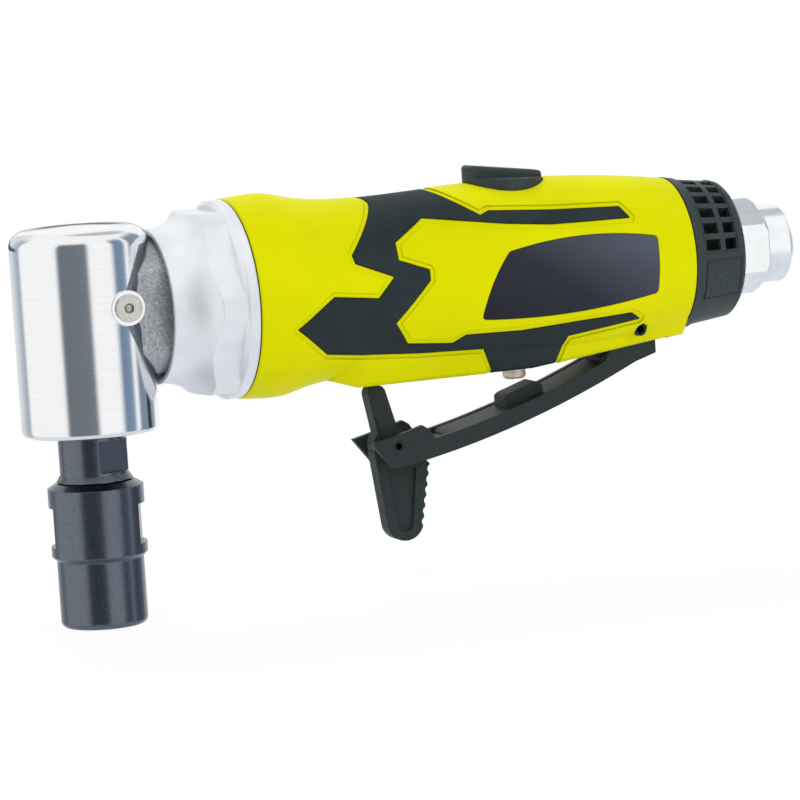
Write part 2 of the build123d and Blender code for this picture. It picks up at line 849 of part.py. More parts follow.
# End plates: discs that hold the rotor's bearings and close the cylinder
end_plates = {"front_end_plate": (front_plate_x, 0), "rear_end_plate": (rear_plate_x, end_plate_wall)}
for plate_name, (plate_x, seat_set) in end_plates.items():
    with BuildPart() as end_plate:
        with BuildSketch(motor_section(plate_x)):
            Circle(sleeve_bore - seat_gap)
            Circle(end_plate_hole, mode=Mode.SUBTRACT)
        extrude(amount=end_plate_length)
        with BuildSketch(motor_section(plate_x + seat_set)):
            Circle(shaft_bearing_outside)
        extrude(amount=shaft_bearing_width, mode=Mode.SUBTRACT)
        if plate_name == "rear_end_plate":
            with BuildSketch(motor_section(plate_x)):
                with Locations((0, -feed_drop)):
                    Circle(feed_passage_radius)
            extrude(amount=end_plate_length, mode=Mode.SUBTRACT)
    end_plate.part.label = plate_name
    export_step(end_plate.part, f"parts/{plate_name}.step")

# Cylinder liner: its bore lies above the rotor's axis, so that the chambers grow and shrink
with BuildPart() as cylinder_liner:
    with BuildSketch(motor_section(liner_x)):
        Circle(sleeve_bore - seat_gap)
        with Locations((0, liner_offset)):
            Circle(liner_bore_radius, mode=Mode.SUBTRACT)
    extrude(amount=liner_length)
    liner_middle = (liner_x + liner_length / 2, 0, motor_axis_z)
    with BuildSketch(Plane(origin=liner_middle, x_dir=(1, 0, 0), z_dir=(0, 1, 0))):
        with GridLocations(liner_port_pitch, 0, liner_port_count, 1):
            Circle(liner_port_radius)
    extrude(amount=sleeve_bore, mode=Mode.SUBTRACT)
cylinder_liner.part.label = "cylinder_liner"
export_step(cylinder_liner.part, "parts/cylinder_liner.step")

# Rotor with its slots and shafts, and the vanes in the slots
rotor_x = liner_x + rotor_side_gap
rotor_length = liner_length - 2 * rotor_side_gap
front_bearing_rear_x = front_plate_x + shaft_bearing_width
coupling_x = neck_flange_x + coupling_gap
coupling_middle_x = coupling_x + coupling_length / 2
with BuildPart() as rotor:
    with BuildSketch(motor_section(rotor_x)):
        Circle(rotor_radius)
        with PolarLocations(rotor_radius - vane_depth / 2, vane_count, start_angle=90):
            Rectangle(vane_depth + 2 * vane_gap, vane_width + 2 * vane_gap, mode=Mode.SUBTRACT)
    extrude(amount=rotor_length)
    with BuildSketch(motor_section(front_bearing_rear_x)):
        Circle(rotor_shoulder_radius)
    extrude(amount=rotor_x - front_bearing_rear_x)
    with BuildSketch(motor_section(coupling_x + coupling_length + coupling_gap)):
        Circle(shaft_bearing_bore)
    extrude(amount=front_bearing_rear_x - coupling_x - coupling_length - coupling_gap)
    with BuildSketch(motor_section(coupling_middle_x + tang_gap)):
        Rectangle(drive_square, drive_square)
    extrude(amount=coupling_length / 2 + coupling_gap - tang_gap)
    with BuildSketch(motor_section(rotor_x + rotor_length)):
        Circle(rotor_shoulder_radius)
    extrude(amount=rear_bearing_x - rotor_x - rotor_length)
    with BuildSketch(motor_section(rear_bearing_x)):
        Circle(shaft_bearing_bore)
    extrude(amount=shaft_bearing_width - side_gap)
rotor.part.label = "rotor"
export_step(rotor.part, "parts/rotor.step")

with BuildPart() as rotor_vanes:
    with BuildSketch(motor_section(rotor_x)):
        with PolarLocations(rotor_radius - vane_depth / 2 - vane_gap, vane_count, start_angle=90):
            Rectangle(vane_depth - vane_gap, vane_width)
    extrude(amount=rotor_length)
rotor_vanes.part.label = "rotor_vanes"
export_step(rotor_vanes.part, "parts/rotor_vanes.step")

# Drive coupling: a short sleeve with a square hole over the two square ends
with BuildPart() as drive_coupling:
    with BuildSketch(motor_section(coupling_x)):
        Circle(coupling_radius)
        Rectangle(drive_square + 2 * seat_gap, drive_square + 2 * seat_gap, mode=Mode.SUBTRACT)
    extrude(amount=coupling_length)
drive_coupling.part.label = "drive_coupling"
export_step(drive_coupling.part, "parts/drive_coupling.step")

# Valve block: air comes in through the tail, down past the poppet, and forward to the motor
with BuildPart() as valve_block:
    with BuildSketch(motor_section(block_x)):
        Circle(sleeve_bore - seat_gap)
    extrude(amount=sleeve_overlap)
    with BuildSketch(motor_section(sleeve_rear_x)):
        Circle(sleeve_radius)
    extrude(amount=block_rear_x - sleeve_rear_x)
    with BuildSketch(motor_section(block_rear_x)):
        Circle(tail_radius)
    extrude(amount=tail_length)
    with BuildSketch(motor_section(tail_rear_x)):
        Circle(inlet_thread_radius + seat_gap)
    extrude(amount=-inlet_thread_length, mode=Mode.SUBTRACT)
    with BuildSketch(motor_section(tail_rear_x)):
        Circle(air_passage_radius)
    extrude(amount=valve_x - tail_rear_x, mode=Mode.SUBTRACT)
    with BuildSketch(motor_section(block_x)):
        with Locations((0, -feed_drop)):
            Circle(feed_passage_radius)
    extrude(amount=valve_setback, mode=Mode.SUBTRACT)
    with BuildSketch(motor_section(block_x)):
        Circle(end_plate_hole)
    extrude(amount=side_gap, mode=Mode.SUBTRACT)
    with BuildSketch(valve_section(motor_axis_z)):
        Circle(valve_bore_radius)
    extrude(amount=sleeve_radius, both=True, mode=Mode.SUBTRACT)
valve_block.part.label = "valve_block"
export_step(valve_block.part, "parts/valve_block.step")

# Valve bush: guides the plunger and carries the seat, with a groove for its O-ring
bush_ring_z = bush_bottom_z + bush_guide_length
with BuildPart() as valve_bush:
    with BuildSketch(Plane.XZ):
        with BuildLine():
            Polyline(
                (valve_x + plunger_radius + running_gap, bush_bottom_z),
                (valve_x + valve_bore_radius - seat_gap, bush_bottom_z),
                (valve_x + valve_bore_radius - seat_gap, bush_ring_z),
                (valve_x + valve_bore_radius - ring_groove_depth, bush_ring_z),
                (valve_x + valve_bore_radius - ring_groove_depth, bush_ring_z + ring_groove_width),
                (valve_x + valve_bore_radius - seat_gap, bush_ring_z + ring_groove_width),
                (valve_x + valve_bore_radius - seat_gap, bush_top_z),
                (valve_x + bush_bore_radius, bush_top_z),
                (valve_x + bush_bore_radius, bush_ring_z),
                (valve_x + plunger_radius + running_gap, bush_ring_z),
                close=True,
            )
        make_face()
    revolve(axis=valve_axis)
    with BuildSketch(motor_section(valve_x - valve_bore_radius)):
        with Locations((0, -feed_drop)):
            Circle(feed_passage_radius)
    extrude(amount=valve_bore_radius, mode=Mode.SUBTRACT)
valve_bush.part.label = "valve_bush"
export_step(valve_bush.part, "parts/valve_bush.step")


# O-rings, squeezed between a groove and its bore
def o_ring(base, inside, outside):
    with BuildPart(base) as ring:
        Torus((inside + outside) / 2, (outside - inside) / 2 - seat_gap)
    return ring


bush_o_ring = o_ring(
    valve_section(bush_ring_z + ring_groove_width / 2),
    valve_bore_radius - ring_groove_depth,
    valve_bore_radius,
)
bush_o_ring.part.label = "bush_o_ring"
export_step(bush_o_ring.part, "parts/bush_o_ring.step")

# Valve plunger: a bronze pin with a thin stem, and the rubber-faced poppet on its top
plunger_guide_top_z = bush_ring_z
with BuildPart() as valve_plunger:
    with BuildSketch(Plane.XZ):
        with BuildLine():
            Polyline(
                (valve_x, plunger_bottom_z),
                (valve_x + plunger_radius, plunger_bottom_z),
                (valve_x + plunger_radius, plunger_guide_top_z),
                (valve_x + plunger_stem_radius, plunger_guide_top_z + plunger_radius - plunger_stem_radius),
                (valve_x + plunger_stem_radius, poppet_z),
                (valve_x + poppet_spigot_radius, poppet_z),
                (valve_x + poppet_spigot_radius, poppet_z + poppet_spigot_height),
                (valve_x, poppet_z + poppet_spigot_height),
                close=True,
            )
        make_face()
    revolve(axis=valve_axis)
    fillet(valve_plunger.edges().sort_by(Axis.Z)[0], plunger_radius / 3)
valve_plunger.part.label = "valve_plunger"
export_step(valve_plunger.part, "parts/valve_plunger.step")

with BuildPart() as valve_poppet:
    with BuildSketch(valve_section(poppet_z)):
        Circle(poppet_radius)
    extrude(amount=poppet_height)
    chamfer(valve_poppet.edges().sort_by(Axis.Z)[-1], poppet_height / 3)
    with BuildSketch(valve_section(poppet_z)):
        Circle(poppet_spigot_radius + seat_gap)
    extrude(amount=poppet_spigot_height + seat_gap, mode=Mode.SUBTRACT)
valve_poppet.part.label = "valve_poppet"
export_step(valve_poppet.part, "parts/valve_poppet.step")


# Springs: wire wound in quarter turns, each a pair of arcs that meet in line
def coil_spring(base, radius, wire_radius, turns, height, first_leg=0.0, last_leg=0.0):
    quarters = 4 * turns

    def point(quarter):
        x, y = polar_point(radius, quarter * math.pi / 2)
        return base.from_local_coords(Vector(x, y, height * quarter / quarters))

    def heading(quarter):
        x, y = polar_point(radius, (quarter + 1) * math.pi / 2)
        rise = 0 if quarter in (0, quarters) else height / quarters / (math.pi / 2)
        return (base.x_dir * x + base.y_dir * y + base.z_dir * rise).normalized()

    with BuildPart() as spring:
        with BuildLine() as path:
            if first_leg:
                Line(point(0) - heading(0) * first_leg, point(0))
            for quarter in range(quarters):
                start, end = point(quarter), point(quarter + 1)
                leave, arrive = heading(quarter), heading(quarter + 1)
                chord = end - start
                along = chord.dot(leave + arrive)
                spread = 2 * (1 - leave.dot(arrive))
                reach = (math.sqrt(along**2 + spread * chord.dot(chord)) - along) / spread
                middle = (start + end + (leave - arrive) * reach) * 0.5
                TangentArc(start, middle, tangent=leave)
                TangentArc(middle, end, tangent=middle - start - leave * reach)
            if last_leg:
                Line(point(quarters), point(quarters) + heading(quarters) * last_leg)
        wire = path.wires()[0]
        with BuildSketch(Plane(origin=wire @ 0, z_dir=wire % 0)):
            Circle(wire_radius)
        sweep()
    samples = [wire @ (step / (40 * turns)) for step in range(40 * turns + 1)]
    half_turn = math.pi * radius
    step_length = wire.length / (40 * turns)
    least = min(
        (samples[i] - samples[j]).length
        for i in range(len(samples))
        for j in range(i + math.ceil(half_turn / step_length), len(samples))
    )
    return spring, least - 2 * wire_radius


spring_bottom_z = poppet_z + poppet_height + spring_wire_radius + seat_gap
spring_height = spool_roof_z - spring_wire_radius - seat_gap - spring_bottom_z
valve_spring, valve_spring_gap = coil_spring(
    valve_section(spring_bottom_z), spring_radius, spring_wire_radius, spring_turns, spring_height
)
valve_spring.part.label = "valve_spring"
export_step(valve_spring.part, "parts/valve_spring.step")
print(f"valve spring: least gap between turns {valve_spring_gap:.2f} mm")

# Regulator spool: a cup with a side port that turns across the air passage, and a stem for the knob
spool_radius = valve_bore_radius - running_gap
spool_bottom_z = bush_top_z + spool_skirt
spool_ring_z = (spool_roof_z + spool_roof + spool_top_z) / 2
spool_stem_top_z = knob_base_z + knob_socket_depth
with BuildPart() as regulator_spool:
    with BuildSketch(Plane.XZ):
        with BuildLine():
            Polyline(
                (valve_x + spool_inner_radius, spool_bottom_z),
                (valve_x + spool_radius, spool_bottom_z),
                (valve_x + spool_radius, spool_ring_z - ring_groove_width / 2),
                (valve_x + valve_bore_radius - ring_groove_depth, spool_ring_z - ring_groove_width / 2),
                (valve_x + valve_bore_radius - ring_groove_depth, spool_ring_z + ring_groove_width / 2),
                (valve_x + spool_radius, spool_ring_z + ring_groove_width / 2),
                (valve_x + spool_radius, spool_top_z),
                (valve_x + spool_stem_radius, spool_top_z),
                (valve_x + spool_stem_radius, spool_stem_top_z),
                (valve_x, spool_stem_top_z),
                (valve_x, spool_roof_z),
                (valve_x + spool_inner_radius, spool_roof_z),
                close=True,
            )
        make_face()
    revolve(axis=valve_axis)
    with BuildSketch(motor_section(valve_x)):
        Circle(spool_port_radius)
    extrude(amount=valve_bore_radius, mode=Mode.SUBTRACT)
regulator_spool.part.label = "regulator_spool"
export_step(regulator_spool.part, "parts/regulator_spool.step")

spool_o_ring = o_ring(
    valve_section(spool_ring_z), valve_bore_radius - ring_groove_depth, valve_bore_radius - seat_gap
)
spool_o_ring.part.label = "spool_o_ring"
export_step(spool_o_ring.part, "parts/spool_o_ring.step")

# Regulator knob: a round skirt with a sloping top and a bar across it, both higher at the front
knob_foot_z = knob_recess_z + side_gap
with BuildPart() as regulator_knob:
    for half_width, front_z, rear_z in (
        (knob_radius, knob_skirt_front_z, knob_skirt_rear_z),
        (knob_bar_width / 2, knob_bar_front_z, knob_bar_rear_z),
    ):
        with BuildSketch(motor_plane):
            with BuildLine():
                Polyline(
                    (valve_x - knob_radius, knob_foot_z),
                    (valve_x - knob_radius, front_z),
                    (valve_x + knob_radius, rear_z),
                    (valve_x + knob_radius, knob_foot_z),
                    close=True,
                )
            make_face()
        extrude(amount=half_width, both=True)
    with BuildSketch(valve_section(knob_base_z)):
        Circle(knob_radius)
    extrude(amount=knob_radius, mode=Mode.INTERSECT)
    bar_top = regulator_knob.faces().sort_by(Axis.Z)[-1]
    fillet(bar_top.edges(), knob_edge)
    with BuildSketch(valve_section(knob_base_z)):
        Circle(spool_stem_radius + seat_gap)
    extrude(amount=knob_socket_depth + seat_gap, mode=Mode.SUBTRACT)
regulator_knob.part.label = "regulator_knob"
export_step(regulator_knob.part, "parts/regulator_knob.step")


# Handle: a turned form with a keel below it, made again at a smaller size wherever a layer is sunk into it
def housing_form(inset):
    stations = (
        (0, housing_rim_radius),
        (bell_x, bell_radius),
        (bell_end_x, bell_end_radius),
        (shoulder_x, shoulder_radius),
        (groove_x, groove_radius),
        (waist_x, waist_radius),
        (belly_x, belly_radius),
        (taper_x, taper_radius),
        (housing_length, housing_rear_radius),
    )
    keel_sections = (
        (keel_root_x, keel_root_depth, keel_root_half_width, keel_shoulder_half_width),
        (keel_front_x, keel_depth, keel_half_width, keel_shoulder_half_width),
        (keel_break_x, keel_depth, keel_half_width, keel_shoulder_half_width),
        (housing_length, keel_rear_depth, keel_rear_half_width, keel_rear_shoulder_half_width),
    )
    with BuildPart() as form:
        with BuildSketch(motor_plane):
            with BuildLine():
                Spline(*[(housing_front_x + x, radius - inset) for x, radius in stations])
                Polyline(
                    (housing_rear_x, housing_rear_radius - inset),
                    (housing_rear_x, 0),
                    (housing_front_x, 0),
                    (housing_front_x, housing_rim_radius - inset),
                )
            make_face()
        revolve(axis=motor_axis)
        for x, depth, half_width, shoulder_half_width in keel_sections:
            with BuildSketch(motor_section(housing_front_x + x)) as section:
                with BuildLine():
                    Polyline(
                        (-shoulder_half_width + inset, -keel_shoulder_depth),
                        (-half_width + inset, -depth + inset),
                        (half_width - inset, -depth + inset),
                        (shoulder_half_width - inset, -keel_shoulder_depth),
                        close=True,
                    )
                make_face()
                fillet(section.vertices().group_by(Axis.Y)[0], keel_corner - inset)
        loft(ruled=True)
    return form.part


# Outline of the soft grip in the side view, measured from the housing's front and the motor axis
grip_corners = (
    (32.9, 28.0),
    (32.9, 18.6),
    (23.8, 8.6),
    (24.2, 6.8),
    (33.0, 3.1),
    (28.8, -1.4),
    (18.0, 0.0),
    (8.7, -6.2),
    (17.0, -12.8),
    (26.0, -14.0),
    (40.3, -15.1),
    (55.7, -15.7),
    (59.1, -21.6),
    (59.1, -28.0),
    (74.3, -28.0),
    (74.6, -21.0),
    (75.7, -14.7),
    (93.2, -12.5),
    (90.8, -10.9),
    (78.2, -11.4),
    (63.4, -12.2),
    (50.2, -11.9),
    (47.4, -13.6),
    (36.5, -12.6),
    (32.9, -7.4),
    (41.2, 1.6),
    (41.2, 3.9),
    (34.4, 6.5),
    (34.5, 10.4),
    (42.5, 15.0),
    (61.4, 12.2),
    (72.1, 11.1),
    (91.7, 10.7),
    (90.0, 13.2),
    (73.3, 14.0),
    (58.5, 15.1),
    (56.2, 14.3),
    (48.1, 20.1),
    (47.0, 28.0),
)


def grip_prism(margin):
    with BuildPart() as prism:
        with BuildSketch(motor_plane):
            with BuildLine():
                Polyline(*[(housing_front_x + x, z) for x, z in grip_corners], close=True)
            make_face()
            if margin:
                offset(amount=margin, kind=Kind.ARC)
        extrude(amount=side_reach, both=True)
    return prism.part


def plate_prism(margin):
    front_top = (housing_front_x + 60.7 - margin, 6.0 + margin)
    front_middle = (housing_front_x + 55.3 - margin, -2.0)
    front_bottom = (housing_front_x + 53.5 - margin, -8.5 - margin)
    bottom_middle = (housing_front_x + 77.7, -8.9 - margin)
    rear_bottom = (housing_front_x + 96.8 + margin, -6.6 - margin)
    rear_top = (housing_front_x + 97.3 + margin, 6.0 + margin)
    top_middle = (housing_front_x + 79.0, 7.9 + margin)
    with BuildPart() as prism:
        with BuildSketch(motor_plane) as outline:
            with BuildLine():
                ThreePointArc(front_top, top_middle, rear_top)
                Line(rear_top, rear_bottom)
                ThreePointArc(rear_bottom, bottom_middle, front_bottom)
                ThreePointArc(front_bottom, front_middle, front_top)
            make_face()
            fillet(outline.vertices(), plate_corner + margin)
        extrude(amount=side_reach)
    return prism.part


outer_form = housing_form(0)
grip_core = housing_form(grip_depth)
plate_core = housing_form(plate_depth)
ledge_core = housing_form(ledge_depth)

with BuildPart() as soft_grip:
    add(grip_prism(0))
    add(housing_form(grip_sink), mode=Mode.INTERSECT)
    add(grip_core, mode=Mode.SUBTRACT)
    with BuildSketch(valve_section(keel_bottom_z - side_gap)):
        Circle(plunger_radius + plunger_hole_gap)
    extrude(amount=sleeve_radius, mode=Mode.SUBTRACT)
soft_grip.part.label = "soft_grip"
export_step(soft_grip.part, "parts/soft_grip.step")

with BuildPart() as side_plate:
    add(plate_prism(0))
    add(outer_form, mode=Mode.INTERSECT)
    add(plate_core, mode=Mode.SUBTRACT)
side_plate.part.label = "side_plate"
export_step(side_plate.part, "parts/side_plate.step")

with BuildPart() as grip_pocket:
    add(grip_prism(grip_seam))
    add(grip_core, mode=Mode.SUBTRACT)

with BuildPart() as grip_ledge:
    add(grip_prism(ledge_width))
    add(ledge_core, mode=Mode.SUBTRACT)

with BuildPart() as plate_pocket:
    add(plate_prism(plate_seam))
    add(plate_core, mode=Mode.SUBTRACT)

lever_slot_top_z = motor_axis_z - lever_slot_drop
with BuildPart() as grip_housing:
    add(outer_form)
    chamfer(grip_housing.edges().filter_by(GeomType.CIRCLE).sort_by(Axis.X)[0], rim_chamfer)
    add(grip_ledge.part, mode=Mode.SUBTRACT)
    add(grip_pocket.part, mode=Mode.SUBTRACT)
    add(plate_pocket.part, mode=Mode.SUBTRACT)
    with BuildSketch(motor_section(housing_front_x)):
        Circle(sleeve_radius + seat_gap)
    extrude(amount=block_rear_x - housing_front_x, mode=Mode.SUBTRACT)
    with BuildSketch(motor_section(block_rear_x)):
        Circle(tail_radius + seat_gap)
        with PolarLocations(
            exhaust_passage_pitch_radius,
            exhaust_passage_count,
            start_angle=90 - exhaust_passage_span / 2,
            angular_range=exhaust_passage_span,
            endpoint=True,
        ):
            Circle(exhaust_passage_radius)
    extrude(amount=housing_rear_x - block_rear_x, mode=Mode.SUBTRACT)
    with BuildSketch(valve_section(keel_bottom_z - side_gap)):
        Circle(plunger_radius + plunger_hole_gap)
    extrude(amount=sleeve_radius, mode=Mode.SUBTRACT)
    with BuildSketch(valve_section(bush_bottom_z)):
        Circle(valve_bore_radius)
    extrude(amount=sleeve_radius, mode=Mode.SUBTRACT)
    with BuildSketch(valve_section(motor_axis_z)):
        Circle(valve_bore_radius + running_gap)
    extrude(amount=side_reach, mode=Mode.SUBTRACT)
    with BuildSketch(valve_section(motor_axis_z + knob_recess_z)):
        Circle(knob_recess_radius)
    extrude(amount=knob_radius, mode=Mode.SUBTRACT)
    with BuildSketch(Plane.XZ):
        with BuildLine():
            Polyline(
                (lever_pin_x - lever_slot_front, keel_bottom_z - side_reach),
                (lever_pin_x - lever_slot_front, keel_bottom_z + side_gap),
                (lever_pin_x - lever_eye_radius - side_gap, lever_slot_top_z),
                (lever_pin_x + lever_slot_rear, lever_slot_top_z),
                (lever_pin_x + lever_slot_rear, keel_bottom_z - side_reach),
                close=True,
            )
        make_face()
    extrude(amount=lever_half_width + side_gap, both=True, mode=Mode.SUBTRACT)
    with BuildSketch(Plane.XZ):
        with Locations((lever_pin_x, lever_pin_z)):
            Circle(lever_pin_radius + seat_gap)
    extrude(amount=side_reach, both=True, mode=Mode.SUBTRACT)
    with BuildSketch(Plane.XY.offset(keel_bottom_z + latch_slot_depth)):
        with Locations((latch_x - latch_slot_front, 0)):
            Rectangle(
                latch_slot_front + latch_slot_rear,
                2 * latch_slot_half_width,
                align=(Align.MIN, Align.CENTER),
            )
    extrude(amount=-side_reach, mode=Mode.SUBTRACT)
grip_housing.part.label = "grip_housing"
export_step(grip_housing.part, "parts/grip_housing.step")


# Lever: a moulded channel, open towards the handle, that ends in a fork for the latch
def lever_underside(x):
    reach = lever_pin_x - x
    return lever_pin_z - lever_heel_drop - lever_slope * reach + lever_bend * reach**2


lever_front_x = latch_x - 1.6
fork_x = latch_x + lever_fork_x
rim_front_x = latch_x + 8.9
rim_rear_x = lever_pin_x - lever_eye_front
pad_front_x = valve_x - 4.0
pad_rear_x = valve_x + 5.4
pad_crown_z = plunger_bottom_z - lever_pad_gap
underside_stations = [lever_pin_x + (lever_front_x - lever_pin_x) * share / 4 for share in range(5)]
rim_stations = [rim_front_x + (rim_rear_x - rim_front_x) * share / 3 for share in range(4)]
floor_stations = [fork_x + (rim_rear_x - fork_x) * share / 3 for share in range(4)]
with BuildPart() as throttle_lever:
    with BuildSketch(Plane.XZ):
        with BuildLine():
            Polyline(
                (lever_pin_x + lever_eye_radius, lever_pin_z),
                (lever_pin_x + lever_eye_radius + 1.4, lever_pin_z - 2.0),
                (lever_pin_x + lever_eye_radius + 1.4, lever_pin_z - 6.1),
                (lever_pin_x, lever_underside(lever_pin_x)),
            )
            Spline(*[(x, lever_underside(x)) for x in underside_stations])
            Polyline(
                (lever_front_x, lever_underside(lever_front_x)),
                (latch_x - 6.3, latch_z + 1.0),
                (latch_x + 3.2, latch_z + 3.3),
                (latch_x + 6.0, latch_z + 4.1),
                (latch_x + 7.4, latch_z + 3.2),
                (rim_front_x, lever_underside(rim_front_x) + lever_rim_height),
            )
            Spline(*[(x, lever_underside(x) + lever_rim_height) for x in rim_stations])
            Polyline(
                (rim_rear_x, lever_underside(rim_rear_x) + lever_rim_height),
                (lever_pin_x - lever_eye_radius, lever_pin_z),
                (lever_pin_x + lever_eye_radius, lever_pin_z),
            )
        make_face()
        with Locations((lever_pin_x, lever_pin_z)):
            Circle(lever_eye_radius)
    extrude(amount=lever_half_width, both=True)
    with BuildSketch(Plane.XZ):
        with BuildLine():
            Spline(*[(x, lever_underside(x) + lever_floor) for x in floor_stations])
            Polyline(
                (rim_rear_x, lever_underside(rim_rear_x) + lever_floor),
                (rim_rear_x, lever_pin_z),
                (latch_x - side_reach, lever_pin_z),
                (latch_x - side_reach, latch_z - side_reach),
                (fork_x, latch_z - side_reach),
                (fork_x, lever_underside(fork_x) + lever_floor),
            )
        make_face()
    extrude(amount=lever_half_width - lever_wall, both=True, mode=Mode.SUBTRACT)
    with BuildSketch(Plane.XZ):
        with BuildLine():
            Polyline(
                (pad_front_x, lever_underside(pad_front_x) + lever_floor / 2),
                (pad_front_x, pad_crown_z - 2.9),
                (pad_front_x + 0.8, pad_crown_z - 2.3),
                (pad_rear_x - 1.6, pad_crown_z),
                (pad_rear_x, pad_crown_z - 0.9),
                (pad_rear_x, lever_underside(pad_rear_x) + lever_floor / 2),
                close=True,
            )
        make_face()
    extrude(amount=lever_pad_half_width, both=True)
    with BuildSketch(Plane.XZ):
        with Locations((lever_pin_x, lever_pin_z)):
            Circle(lever_pin_radius + running_gap)
        with Locations((latch_x, latch_z)):
            Circle(latch_pin_radius + seat_gap)
    extrude(amount=side_reach, both=True, mode=Mode.SUBTRACT)
throttle_lever.part.label = "throttle_lever"
export_step(throttle_lever.part, "parts/throttle_lever.step")


# Pins: rolled spring pins, hollow
def roll_pin(x, z, radius, half_length):
    with BuildPart() as pin:
        with BuildSketch(Plane.XZ):
            with Locations((x, z)):
                Circle(radius)
                Circle(radius * pin_bore_share, mode=Mode.SUBTRACT)
        extrude(amount=half_length, both=True)
    return pin


lever_pin = roll_pin(lever_pin_x, lever_pin_z, lever_pin_radius, lever_pin_half_length)
lever_pin.part.label = "lever_pin"
export_step(lever_pin.part, "parts/lever_pin.step")

latch_pin = roll_pin(latch_x, latch_z, latch_pin_radius, lever_half_width)
latch_pin.part.label = "latch_pin"
export_step(latch_pin.part, "parts/latch_pin.step")

# Safety latch: an arm that stands against the handle, and a grooved tab for the finger that folds it away
arm_along = Vector(-math.sin(latch_lean), math.cos(latch_lean))
arm_across = Vector(math.cos(latch_lean), math.sin(latch_lean))
arm_tip = arm_along * latch_arm_length
tab_front_bottom = Vector(-2.0, -19.0)
tab_rear_top = Vector(8.9, -5.2)
tab_rear_bottom = Vector(6.3, -19.4)
tab_out = Vector(tab_rear_top.Y - tab_rear_bottom.Y, tab_rear_bottom.X - tab_rear_top.X).normalized()
latch_plane = Plane(origin=(latch_x, 0, latch_z), x_dir=(1, 0, 0), z_dir=(0, -1, 0))
with BuildPart() as safety_latch:
    with BuildSketch(latch_plane):
        with BuildLine():
            Polyline(
                arm_across * -(latch_arm_half + 0.5),
                arm_tip - arm_across * latch_arm_half,
                arm_tip + arm_across * latch_arm_half,
                arm_across * (latch_arm_half + 0.5),
                close=True,
            )
        make_face()
        with Locations(arm_tip):
            Circle(latch_arm_half)
        Circle(latch_hub_radius)
        with BuildLine():
            Polyline(
                tab_front_bottom,
                (-latch_hub_radius, -1.5),
                (0, 0),
                (7.6, -3.9),
                tab_rear_top,
                tab_rear_bottom,
            )
            ThreePointArc(tab_rear_bottom, (2.1, -22.2), tab_front_bottom)
        make_face()
        for groove in range(latch_groove_count):
            share = (groove + 0.5) / latch_groove_count
            edge_point = tab_rear_top + (tab_rear_bottom - tab_rear_top) * share
            with Locations(edge_point + tab_out * (latch_groove_radius - latch_groove_depth)):
                Circle(latch_groove_radius, mode=Mode.SUBTRACT)
    extrude(amount=latch_half_width, both=True)
    for side in (1, -1):
        with BuildSketch(latch_plane.offset(side * latch_half_width)):
            with BuildLine():
                Polyline((0.4, -18.4), (-1.3, -5.8), (5.6, -5.8), (4.0, -18.4))
                ThreePointArc((4.0, -18.4), (2.2, -20.1), (0.4, -18.4))
            make_face()
        extrude(amount=-side * latch_pocket_depth, mode=Mode.SUBTRACT)
    with BuildSketch(latch_plane):
        Circle(latch_pin_radius + running_gap)
    extrude(amount=side_reach, both=True, mode=Mode.SUBTRACT)
safety_latch.part.label = "safety_latch"
export_step(safety_latch.part, "parts/safety_latch.step")

# Latch spring: a small torsion spring on the pin, whose long leg lies along the arm
coil_start = latch_half_width + latch_wire_radius + seat_gap
latch_spring_plane = Plane(
    origin=(latch_x, -coil_start, latch_z),
    x_dir=(-arm_across.X, 0, -arm_across.Y),
    z_dir=(0, -1, 0),
)
latch_spring, latch_spring_gap = coil_spring(
    latch_spring_plane,
    latch_coil_radius,
    latch_wire_radius,
    latch_coil_turns,
    latch_coil_turns * latch_coil_pitch,
    latch_leg_long,
    latch_leg_short,
)
latch_spring.part.label = "latch_spring"
export_step(latch_spring.part, "parts/latch_spring.step")
print(f"latch spring: least gap between turns {latch_spring_gap:.2f} mm")

